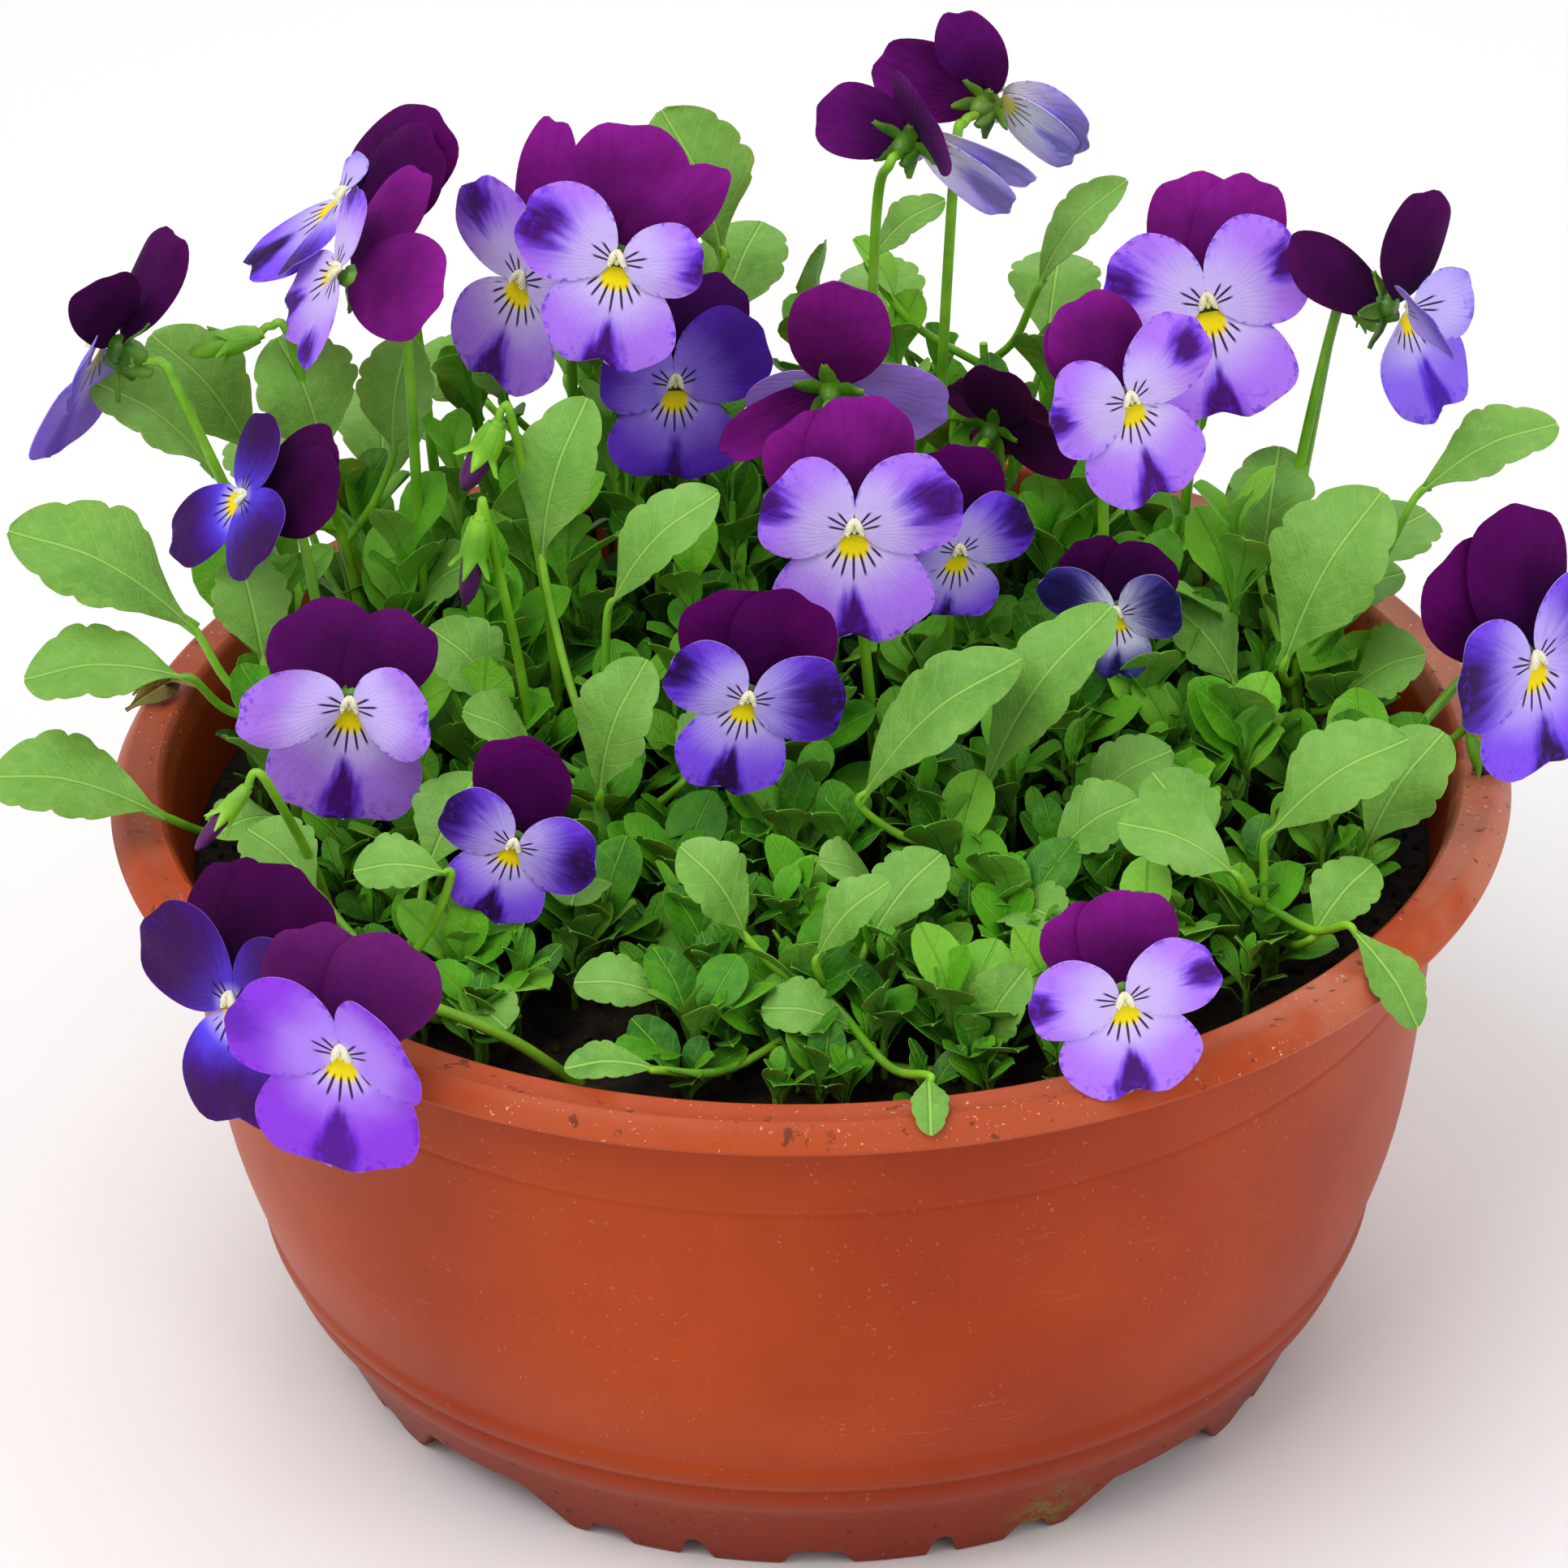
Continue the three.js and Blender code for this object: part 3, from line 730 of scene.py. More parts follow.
@dataclass(frozen=True)
class PetalPaint:
    """Colours of one kind of bloom.

    Attributes:
        upper_deep: Upper petals near the throat.
        upper_lit: Upper petals near the margin, partly their own colour and partly painted light on
            the petals' upper parts.
        pale: Side and lower petals near the throat.
        body: Side and lower petals further out.
        halo: The bright violet round the dark patches.
        blotch: The dark patches.
        spot: Radius of the dark spot on a side petal, in millimetres.
        spot_at: How far out the middle of that spot is, as a share of the petal's length.
        spot_share: How dark that spot is.
        lower_from: Where the lower petal starts to darken, as a share of its length.
        lower_share: How dark the lower petal's margin gets.
        wedge: Half width of the lower petal's dark wedge at its tip, in millimetres.
        speckle: How strong the purple specks along the margins are.
        rim_share: How pale the thin line along the margin is.
        back: The backs of the side and lower petals.
        back_share: How far the backs differ from the faces.
    """

    upper_deep: Colour = (78, 8, 80)
    upper_lit: Colour = (140, 28, 144)
    pale: Colour = (206, 184, 250)
    body: Colour = (178, 122, 252)
    halo: Colour = (98, 36, 226)
    blotch: Colour = (66, 4, 104)
    spot: float = 3.4
    spot_at: float = 0.84
    spot_share: float = 0.95
    lower_from: float = 1.1
    lower_share: float = 0.0
    wedge: float = 3.7
    speckle: float = 0.85
    rim_share: float = 0.3
    back: Colour = (168, 136, 240)
    back_share: float = 0.8

    SIDE_SIZE = (20.5, 20)
    LOWER_SIZE = (22, 28)

    def upper(self, name: str) -> bpy.types.Material:
        """The two upper petals: deep and velvety, with faint darker veins, lighter towards the
        margin partly as painted light.
        """
        sheet = Surface.named(f"petal_upper_{name}", self.upper_deep)
        *_, angle, far = sheet.fan()
        lit = far * (1 / 26) + (sheet.noise(70.0) - 0.5)
        lines = ((angle + sheet.noise(160.0, 2.0) * 0.1) * 46.0).cosine()
        # Lighter towards the margin and top: partly the petals' own colour, partly painted light.
        sheet.coat(lit.step(0.25, 1.2), self.upper_lit)
        sheet.coat(lines.step(0.4, 1.0) * 0.13, self.upper_deep)
        return sheet.finish(0.75, lines * 0.12 + sheet.noise(500.0), 0.00022,
                            Specular_IOR_Level=0.05, Sheen_Weight=0.02, Sheen_Roughness=0.45,
                            Subsurface_Weight=0.08, Subsurface_Scale=0.002)

    def face(self, name: str, lower: bool) -> bpy.types.Material:
        """A side petal or the lower one: pale throat, whiskers, patches and specked margin.

        Args:
            name: The kind's name.
            lower: True for the lower petal.

        Returns:
            The material.
        """
        sheet = Surface.named(f"petal_{'lower' if lower else 'side'}_{name}", self.pale)
        length = (self.LOWER_SIZE if lower else self.SIDE_SIZE)[0]
        fan = sheet.fan()
        _, _, angle, far = fan
        share_across, share_along, _ = sheet.chart("sheet")
        spread = sheet.vector(angle, far * 0.012, sheet.attribute("tone"))
        streaks = sheet.noise(9.0, where=spread) - 0.5
        cloud = sheet.noise(130.0, 4.0) - 0.5
        reach = far + cloud * 6.0
        sheet.coat(reach.step(length * 0.3, length * 0.8), self.body)
        if lower:
            self._lower_patch(sheet, fan, reach, share_along + cloud * 0.35, streaks)
        else:
            self._side_patch(sheet, fan, cloud * 2.7 + streaks * 7.0)
        edge = (abs(share_across - 0.5) * 2.0).most(share_along)
        specks = sheet.noise(620.0, 2.0).step(0.52, 0.62) * edge.step(0.6, 0.96)
        lines = ((angle + sheet.noise(90.0) * 0.4) * 60.0).cosine()
        sheet.coat(specks * self.speckle, self.halo)
        sheet.coat(edge.step(0.955, 0.985) * self.rim_share, self.pale)
        sheet.coat(lines.step(0.6, 1.0) * 0.045, self.blotch)
        (LOWER_THROAT if lower else SIDE_THROAT).lay(sheet, fan)
        sheet.coat(sheet.attribute("under") * self.back_share, self.back)
        return sheet.finish(0.6, lines * 0.06 + sheet.noise(420.0), 0.00022,
                            Specular_IOR_Level=0.15, Sheen_Weight=0.04, Sheen_Roughness=0.5,
                            Subsurface_Weight=0.12, Subsurface_Scale=0.002)

    def _side_patch(self, sheet: Surface, fan: Sequence[Number], frayed: Number) -> None:
        """Add the dark spot near a side petal's margin.

        Args:
            sheet: The petal's finish.
            fan: The petal's four measures.
            frayed: How far the spot's edge strays, in millimetres.
        """
        length, width = self.SIDE_SIZE
        beside, ahead = fan[0] - width * 0.08, fan[1] - length * self.spot_at
        own_size = sheet.attribute("tone") * 0.8 + 0.6
        gap = ((beside ** 2.0 + ahead ** 2.0).root() + frayed) / own_size
        sheet.coat(gap.step(self.spot * 2.3, self.spot * 0.8) * (self.spot_share * 0.9), self.halo)
        sheet.coat(gap.step(self.spot * 1.5, self.spot * 0.5) * self.spot_share, self.blotch)

    def _lower_patch(self, sheet: Surface, fan: Sequence[Number], reach: Number, share: Number,
                     streaks: Number) -> None:
        """Add the lower petal's dark margin and its wedge.

        Args:
            sheet: The petal's finish.
            fan: The petal's four measures.
            reach: The way from the petal's root, made uneven.
            share: The share along the petal, made uneven.
            streaks: Streaks that run out from the root, -0.5 to 0.5.
        """
        start, most, length = self.lower_from, self.lower_share, self.LOWER_SIZE[0]
        sheet.coat(share.step(start - 0.3, start + 0.02) * (most * 0.9), self.halo)
        sheet.coat(share.step(start - 0.1, start + 0.1) * most, self.blotch)
        if not self.wedge:
            return
        room = reach.step(length * 0.42, length) * self.wedge
        inside = room - abs(fan[0]) + streaks * 4.0
        here = fan[3].step(length * 0.42, length * 0.6)
        sheet.coat(inside.step(-2.0, 0.6) * (here * 0.85), self.halo)
        sheet.coat(inside.step(-0.5, 1.2) * (here * 0.96), self.blotch)


class Paint(Enum):
    """The kinds of bloom in the bowl."""

    PLUM = PetalPaint()
    LAVENDER = PetalPaint(
        upper_deep=(62, 8, 70), upper_lit=(100, 18, 108), body=(172, 120, 236), spot_share=0.0,
        wedge=3.4, back=(190, 150, 246))
    PERIWINKLE = PetalPaint(
        upper_deep=(42, 2, 50), upper_lit=(84, 10, 90), pale=(196, 184, 252),
        body=(140, 104, 246), halo=(96, 36, 236), blotch=(70, 14, 170), spot=6.0, spot_at=0.95,
        spot_share=0.9, wedge=3.0, back=(150, 116, 242), back_share=0.4)
    ORCHID = PetalPaint(
        upper_deep=(78, 16, 84), upper_lit=(112, 34, 114), pale=(176, 132, 246),
        body=(140, 58, 226), halo=(100, 24, 206), blotch=(80, 10, 140), spot=5.0, spot_at=1.0,
        spot_share=0.5)
    VIOLET = PetalPaint(
        upper_deep=(46, 4, 60), upper_lit=(66, 12, 90), pale=(150, 120, 238), body=(92, 48, 190),
        halo=(66, 22, 170), blotch=(44, 4, 96), spot=8.0, spot_at=1.0, spot_share=0.5,
        lower_from=0.85, lower_share=0.6, wedge=3.0, back=(104, 80, 196))
    MIDNIGHT = PetalPaint(
        upper_deep=(50, 0, 58), upper_lit=(88, 4, 92), pale=(192, 172, 252), body=(132, 82, 250),
        halo=(76, 24, 200), blotch=(38, 0, 56), spot=7.0, spot_at=0.98, spot_share=0.94,
        wedge=4.0, rim_share=0.6)
    NAVY = PetalPaint(
        upper_deep=(40, 2, 50), upper_lit=(74, 8, 80), pale=(225, 222, 248), body=(110, 104, 200),
        halo=(44, 40, 150), blotch=(20, 12, 74), spot=9.5, spot_at=0.85, spot_share=0.96,
        lower_from=0.85, lower_share=0.7, wedge=3.0, rim_share=0.7)
    INDIGO = PetalPaint(
        upper_deep=(34, 1, 38), upper_lit=(72, 4, 76), pale=(96, 76, 255), body=(68, 14, 176),
        halo=(60, 4, 130), blotch=(52, 1, 74), spot=12.0, spot_at=1.0, spot_share=0.96,
        lower_from=0.55, lower_share=0.9, wedge=0.0)
    PALE = PetalPaint(
        upper_deep=(60, 6, 72), upper_lit=(112, 22, 126), pale=(240, 238, 254),
        body=(186, 172, 252), halo=(96, 56, 236), blotch=(58, 14, 170), spot=8.5, spot_at=1.1,
        spot_share=1.0, lower_from=0.82, lower_share=0.7, wedge=3.0, back=(246, 244, 255),
        back_share=0.2)
    DUSK = PetalPaint(
        upper_deep=(44, 4, 50), upper_lit=(72, 10, 76), pale=(90, 30, 110), body=(64, 10, 78),
        halo=(56, 6, 80), blotch=(36, 0, 50), back=(60, 8, 66))

    def materials(self) -> list[bpy.types.Material]:
        """The finishes of the upper, side and lower petals."""
        name = self.name.lower()
        paint: PetalPaint = self.value
        return [paint.upper(name), paint.face(name, False), paint.face(name, True)]


# Bowl and soil
@dataclass(frozen=True)
class FootCut:
    """An opening in the foot ring: its place and half widths in degrees, and its height."""

    angle: float
    bottom: float
    top: float
    height: float
    round_top: bool = False

    def rise(self, away: float) -> float:
        """Height of the opening at an angle away from its middle."""
        if away >= self.bottom:
            return 0.0
        if self.round_top:
            return self.height * math.sqrt(1 - (away / self.bottom) ** 2)
        return self.height * min(1.0, (self.bottom - away) / (self.bottom - self.top))


@dataclass
class Bowl:
    """The turned plastic bowl with its folded lip and its cut-out foot ring.

    Pairs in a section are a radius and a height. A bead is its height, half its width and how far
    it swells.
    """

    wall: float = 2.8
    foot_radius: float = 100.4
    foot_inside: float = 100.2
    foot_thickness: float = 3.0
    foot_top: float = 18.0
    foot_turn: float = -0.7
    foot_taper: float = 2.6
    foot_round: float = 0.6
    underside: float = 11.5
    floor: float = 14.5
    floor_edges: tuple[float, float] = (101.5, 103.6)
    fillet: float = 2.0
    middle: tuple[float, float] = (1, 60)
    columns: int = 720
    side: tuple[tuple[float, float], ...] = (
        (108.4, 18), (112.8, 26.8), (115.7, 35), (121.4, 55), (124.6, 80), (126.8, 105), (128, 118),
    )
    beads: tuple[Place, ...] = ((22.4, 4.1, 1.3), (30.0, 3.2, 1.0))
    line: Place = (100.6, 0.55, 0.3)
    lip: tuple[tuple[float, float], ...] = (
        (128.5, 121), (129.6, 123.4), (131.6, 124.9), (134.4, 125.4), (136.6, 124.9),
        (137.5, 123.6), (138.0, 122.7), (138.9, 122.4), (139.8, 122.7), (140, 123.4), (139.2, 125),
        (138, 126.6), (137.2, 127.5), (136.5, 127.9), (135.4, 127.7), (133.6, 127.3),
        (131.8, 127.5), (130.6, 127.8), (129.8, 127.4), (129.1, 126.4), (127.6, 122), (126, 118),
    )
    foot_levels: tuple[float, ...] = (0.4, 1, 3, 6, 9, 12, 15, 17.4)
    inner_levels: tuple[float, ...] = (9, 6, 3, 0.7)
    inner_top: float = 11.0
    bead_levels: tuple[float, ...] = (
        18.5, 19, 19.8, 21, 22, 23, 24, 25, 25.8, 26.3, 26.8, 27.4, 28.4, 29.4, 30.6, 31.6, 32.4,
        33.2, 35,
    )
    line_levels: tuple[float, ...] = (98, 99.4, 99.9, 100.3, 100.6, 100.9, 101.3, 101.8)
    cuts: tuple[FootCut, ...] = (
        FootCut(41, 12, 7, 10.2), FootCut(24.2, 2.9, 1.6, 4.2), FootCut(59, 2.9, 1.6, 4.2),
        FootCut(13.8, 1.6, 1, 6, True), FootCut(70, 1.6, 1, 6, True),
    )
    middle_cut: FootCut = FootCut(0, 4, 2.5, 4.2)

    def _plain_radius(self, height: float) -> float:
        """Radius of the outer side at a height, without its beads."""
        curve = smooth_path(self.side, 12)
        return float(np.interp(height, curve[:, 1], curve[:, 0]))

    def _outer_radius(self, height: float) -> float:
        """Radius of the outer side at a height, with its beads and its fine line."""
        radius = self._plain_radius(height)
        for middle, half, swell in self.beads:
            radius += swell * max(0.0, 1 - ((height - middle) / half) ** 2) ** 0.7
        middle, half, depth = self.line
        return radius - depth * math.exp(-(((height - middle) / half) ** 2))

    def _lift(self, angle: float) -> float:
        """How far the foot's lower edge is cut up at an angle round from the front, in degrees."""
        quarter = (angle - self.foot_turn + 45) % 90 - 45
        half_turn = abs((angle - self.foot_turn + 90) % 180 - 90)
        sides = [cut.rise(abs(half_turn - cut.angle)) for cut in self.cuts]
        return max(self.middle_cut.rise(abs(quarter)), *sides)

    def _outline(self) -> Points:
        """The section from the foot's outer edge round to its inner edge.

        Returns:
            A row a point: its radius, its height, and how much of the foot's lift it takes.
        """
        swell, inside = self.side[0][0] - self.foot_radius, self.foot_inside
        foot = [(self.foot_radius + swell * z / self.foot_top, z, 1 - z / self.foot_top)
                for z in self.foot_levels]
        levels = (*self.bead_levels, *range(38, 98, 4), *self.line_levels, 104, 109, 114, 118)
        body = [(108.5, 18.1), *((self._outer_radius(z), z) for z in levels)]
        wall = [(self._plain_radius(z) - self.wall, z) for z in (112, 100, 80, 60, 40, 26)]
        (near, far), (edge, corner) = self.middle, self.floor_edges
        base = [(corner, self.floor + self.fillet),
                *((radius, self.floor) for radius in (edge, far, near)),
                *((radius, self.underside) for radius in (near, far, inside))]
        inner = [(inside - self.foot_taper * share, z, share)
                 for z, share in ((z, 1 - z / self.inner_top) for z in self.inner_levels)]
        hem = [(self.foot_radius - self.foot_thickness + 0.5, 0, 1),
               (self.foot_radius - self.foot_round, 0, 1)]
        still = [(radius, z, 0) for radius, z in (*body, *self.lip, *wall, *base)]
        return np.array([*foot, *still, *inner, *hem], float)

    def build(self) -> None:
        """Make the bowl and hang it on the frame."""
        radius, height, share = (column[:, None] for column in self._outline().T)
        turns = np.arange(self.columns) / self.columns * 360
        rise = share * np.array([self._lift(turn) for turn in turns])
        slope = (self.side[0][0] - self.foot_radius) / self.foot_top
        radii = radius + rise * slope * (radius > 99)
        angle = np.radians(turns)
        rings = np.stack([radii * np.sin(angle), -radii * np.cos(angle), height + rise], axis=-1)
        batch = MeshBatch()
        batch.grid(np.concatenate([rings, rings[:1]]))
        piece = batch.build("planter_bowl", [BowlPlastic().material()], 40)
        face_outwards(piece.data, weld=True)
        mount(piece, "bowl", "bowl")


@dataclass
class Soil:
    """The domed, crumbly potting mix; its crumbs are in metres."""

    centre: float = 111.5
    edge: float = 108.5
    radius: float = 124.2
    floor: float = 15.0
    rings: int = 46
    columns: int = 160
    crumb_spacing: float = 0.0042
    crumb_size: float = 0.0017

    def height(self, x: float, y: float) -> float:
        """Height of the soil at a place."""
        share = math.hypot(x, y) / self.radius
        return self.centre + (self.edge - self.centre) * share * share

    def footing(self, place: tuple[float, float], depth: float = 0.0) -> Points:
        """The point under a place, at a depth below the soil's surface."""
        return np.array([*place, self.height(*place) - depth])

    def build(self) -> None:
        """Make the soil's body and its crumbs."""
        turns = np.linspace(0, 2 * np.pi, self.columns, endpoint=False)
        rows = []
        for share in np.linspace(0.01, 1, self.rings):
            ring = []
            for turn in turns:
                x, y = self.radius * share * math.sin(turn), -self.radius * share * math.cos(turn)
                rough = noise.fractal(Vector((x, y, 0)) * 0.09, 0.9, 2.0, 4) * 1.6
                rise = rough * min(1.0, 4 * (1 - share) + 0.3)
                ring.append((x, y, self.height(x, y) + rise))
            rows.append(ring)
        wall = ((122.6, 90), (119.5, 60), (111.5, 30), (102, self.floor), (1, self.floor))
        for radius, z in wall:
            rows.append([(radius * math.sin(t), -radius * math.cos(t), z) for t in turns])
        batch = MeshBatch()
        batch.grid(np.array(rows), ends=True)
        finish = Earth().material()
        mount(batch.build("soil_bed", [finish], 180), "soil", "soil")
        crumbs = Scatter("soil_crumbs", self.bed(self.radius - 2), finish)
        mount(crumbs.crumbs(self.crumb_spacing, self.crumb_size), "soil")

    def bed(self, radius: float, inner: float = 0.0, turn: float = 180.0) -> bpy.types.Mesh:
        """A disc or part of a ring that lies on the soil, to scatter things on.

        Args:
            radius: Its outer radius.
            inner: Its inner radius.
            turn: How far round it reaches from the back to either side, in degrees.

        Returns:
            The mesh, in metres.
        """
        rings, columns = 8, 48
        points = []
        for reach in np.linspace(max(inner, 0.5), radius, rings + 1):
            for around in np.radians(np.linspace(-turn, turn, columns + 1)):
                x, y = float(reach * math.sin(around)), float(reach * math.cos(around))
                points.append((x * MM, y * MM, self.height(x, y) * MM))
        at = np.arange(len(points)).reshape(rings + 1, columns + 1)
        faces = np.stack([at[:-1, :-1], at[1:, :-1], at[1:, 1:], at[:-1, 1:]], axis=-1)
        mesh = bpy.data.meshes.new("bed")
        mesh.from_pydata(points, [], faces.reshape(-1, 4).tolist())
        return mesh


# Things scattered by Geometry Nodes
@dataclass(frozen=True)
class ShootPlan:
    """How a stand of shoots grows; lengths in metres but for the bed's and the leaf's.

    Attributes:
        spacing: Least distance between two shoots.
        radius: The bed's outer radius.
        height: Height of the tallest shoots.
        seed: Seed of the places.
        leaf: Length and width of a leaf.
        leaves: Leaves on a shoot.
        fall: How much lower they are at the edge.
        back_gain: How much taller they get for each metre to the back.
        divergence: Turn from one leaf to the next, in radians.
        bare: The share of the stem under the first leaf.
        tuft_scale: Scale of the uneven growth.
        tuft_gain: How uneven the growth is.
        inner: The bed's inner radius.
        turn: How far round the bed reaches from the back, in degrees.
        bare_places: Places without shoots.
        pitch: Tilt of the lowest and the highest leaves, in radians.
        tones: The leaves' tones.
    """

    spacing: float
    radius: float
    height: float
    seed: int
    leaf: tuple[float, float]
    leaves: int = 7
    fall: float = 0.3
    back_gain: float = 3.0
    divergence: float = 2.4
    bare: float = 0.3
    tuft_scale: float = 42.0
    tuft_gain: float = 0.35
    inner: float = 0.0
    turn: float = 180.0
    bare_places: tuple[tuple[float, float], ...] = (
        (-0.048, -0.104), (0.102, -0.068), (-0.118, -0.022), (0.066, -0.1))
    pitch: tuple[float, float] = (0.0, 0.9)
    tones: tuple[float, float] = (0.0, 0.8)


@dataclass
class Scatter:
    """Scatters copies over a bed and turns the result into one plain mesh."""

    name: str
    bed: bpy.types.Mesh
    finish: bpy.types.Material
    sheet: NodeSheet = field(init=False)
    inputs: Any = field(init=False)
    values: dict[str, float] = field(init=False)

    DENSITY = 300000.0
    BED_LEVEL = 0.111
    BARE_RADII = (0.012, 0.022)
    STEM_RADIUS = 0.0007
    GROWTH = (0.7, 1.15)
    STRAY = 0.35
    SWAY = 0.3
    TOP_LEAF = 0.4

    def _start(self, **inputs: float) -> None:
        """Start a tree with a geometry input and some named numbers.

        Args:
            **inputs: Each input's value, with _ for each space.
        """
        tree = bpy.data.node_groups.new(self.name, "GeometryNodeTree")
        for way in ("INPUT", "OUTPUT"):
            tree.interface.new_socket("Geometry", in_out=way, socket_type="NodeSocketGeometry")
        self.values = {}
        for name, value in inputs.items():
            kind = "NodeSocketInt" if isinstance(value, int) else "NodeSocketFloat"
            socket = tree.interface.new_socket(name.replace("_", " "), in_out="INPUT",
                                               socket_type=kind)
            socket.default_value = value
            self.values[socket.identifier] = value
        self.sheet = NodeSheet(tree)
        self.inputs = self.sheet.node("NodeGroupInput").outputs

    def _given(self, name: str) -> Number:
        """One of the tree's named inputs."""
        return Number(self.sheet, self.inputs[name])

    def _apply(self, geometry: Any, crease: float) -> bpy.types.Object:
        """End the tree, run it on the bed and keep what it makes as a plain piece.

        Args:
            geometry: What the tree makes.
            crease: Edges sharper than this many degrees stay sharp.

        Returns:
            The piece.
        """
        real = self.sheet.node("GeometryNodeRealizeInstances", {0: geometry}).outputs[0]
        inputs = {"Geometry": real, "Material": self.finish}
        dressed = self.sheet.node("GeometryNodeSetMaterial", inputs).outputs[0]
        self.sheet.node("NodeGroupOutput", {0: dressed})
        carrier = place_object(f"{self.name}_bed", self.bed)
        modifier = carrier.modifiers.new(self.name, "NODES")
        modifier.node_group = self.sheet.tree
        for identifier, value in self.values.items():
            modifier[identifier] = value
        graph = bpy.context.evaluated_depsgraph_get()
        mesh = bpy.data.meshes.new_from_object(carrier.evaluated_get(graph), depsgraph=graph)
        bpy.data.objects.remove(carrier)
        mesh.name = self.name
        return settle(self.name, mesh, crease)

    def _points(self, bare: Iterable[tuple[float, float]] = ()) -> Any:
        """Points on the bed, no nearer each other than the spacing and clear of bare places."""
        where = self.sheet.node("GeometryNodeInputPosition").outputs[0]
        room: Any = 1.0
        for x, y in bare:
            gap = self.sheet.distance(where, (x, y, self.BED_LEVEL))
            room = gap.step(*self.BARE_RADII) * room
        return self.sheet.node("GeometryNodeDistributePointsOnFaces", {
            "Mesh": self.inputs["Geometry"], "Distance Min": self.inputs["Spacing"],
            "Density Max": self.DENSITY, "Density Factor": room, "Seed": self.inputs["Seed"],
        }, distribute_method="POISSON").outputs["Points"]

    def _random(self, low: float, high: float, seed: int) -> Number:
        """A random number for each point."""
        inputs = {2: low, 3: high, "Seed": seed}
        return self.sheet.number("FunctionNodeRandomValue", inputs, 1, data_type="FLOAT")

    def _random_vector(self, low: Place, high: Place, seed: int) -> bpy.types.NodeSocket:
        """A random vector for each point."""
        inputs = {0: low, 1: high, "Seed": seed}
        return self.sheet.node("FunctionNodeRandomValue", inputs,
                               data_type="FLOAT_VECTOR").outputs[0]

    def _store(self, geometry: Any, **numbers: Any) -> bpy.types.NodeSocket:
        """Keep numbers on each point under their names."""
        for name, value in numbers.items():
            inputs = {"Geometry": geometry, "Name": name, "Value": value}
            geometry = self.sheet.node("GeometryNodeStoreNamedAttribute", inputs,
                                       data_type="FLOAT", domain="POINT").outputs[0]
        return geometry

    def _kept(self, name: str) -> Number:
        """A number kept on each point."""
        return self.sheet.number("GeometryNodeInputNamedAttribute", {"Name": name},
                                 data_type="FLOAT")

    def _copies(self, points: Any, thing: Any, scale: Any, euler: Any = None
                ) -> bpy.types.NodeSocket:
        """Set a copy of a thing on each point.

        Args:
            points: The points.
            thing: What is copied.
            scale: Each copy's scale.
            euler: Each copy's turn about the three axes, or None.

        Returns:
            The copies.
        """
        inputs = {"Points": points, "Instance": thing, "Scale": scale}
        if euler is not None:
            turn = self.sheet.node("FunctionNodeEulerToRotation", {0: euler})
            inputs["Rotation"] = turn.outputs[0]
        return self.sheet.node("GeometryNodeInstanceOnPoints", inputs).outputs[0]

    def crumbs(self, spacing: float, size: float) -> bpy.types.Object:
        """Scatter crumbs of soil.

        Args:
            spacing: Least distance between two crumbs, in metres.
            size: Largest radius of a crumb, in metres.

        Returns:
            The piece.
        """
        self._start(Spacing=spacing, Seed=4, Crumb_Size=size)
        ball = {"Radius": self._given("Crumb Size"), "Subdivisions": 1}
        crumb = self.sheet.node("GeometryNodeMeshIcoSphere", ball).outputs[0]
        spun = self._random_vector((0.0,) * 3, (FULL_TURN,) * 3, 3)
        sizes = self._random_vector((0.3, 0.3, 0.2), (1.3, 1.0, 0.8), 5)
        return self._apply(self._copies(self._points(), crumb, sizes, spun), 30)

    def shoots(self, leaf: bpy.types.Object, plan: ShootPlan) -> bpy.types.Object:
        """Scatter leafy shoots: leaves set round upright stems, each turned on from the last.

        Args:
            leaf: The leaf to repeat, along +Y with its upper side up.
            plan: How the shoots grow.

        Returns:
            The piece.
        """
        self._start(Spacing=plan.spacing, Seed=plan.seed, Leaves=plan.leaves, Height=plan.height,
                    Bed_Radius=plan.radius * MM, Leaf_Scale=1.0, Stem_Radius=self.STEM_RADIUS)
        position = self.sheet.node("GeometryNodeInputPosition").outputs[0]
        x, y, _ = self.sheet.axes(position)
        away = (x ** 2.0 + y ** 2.0).root() / self._given("Bed Radius")
        fall = 1.0 - away ** 2.0 * plan.fall
        back = (y * plan.back_gain + 1.0).most(0.4)
        tufts = self.sheet.number("ShaderNodeTexNoise", {
            "Vector": position, "Scale": plan.tuft_scale, "Detail": 1.0}).step(0.36, 0.66)
        uneven = tufts * (2 * plan.tuft_gain) + (1.0 - plan.tuft_gain)
        rise = fall * back * self._random(*self.GROWTH, 11) * uneven * self._given("Height")
        points = self._store(self._points(plan.bare_places), rise=rise,
                             spin=self._random(0.0, FULL_TURN, 12))
        blades = self._blades(points, leaf, plan)
        stem = self.sheet.node("GeometryNodeMeshCylinder", {
            "Vertices": 5, "Radius": self._given("Stem Radius"), "Depth": 1.0}).outputs[0]
        footed = self.sheet.node("GeometryNodeTransform", {
            0: stem, "Translation": (0.0, 0.0, 0.5)}).outputs[0]
        tall = self.sheet.vector(1.0, 1.0, self._kept("rise"))
        stems = self._copies(self._store(points, tone=0.8), footed, tall)
        joined = self.sheet.node("GeometryNodeJoinGeometry")
        for part in (stems, blades):
            self.sheet.tree.links.new(part, joined.inputs[0])
        return self._apply(joined.outputs[0], 60)

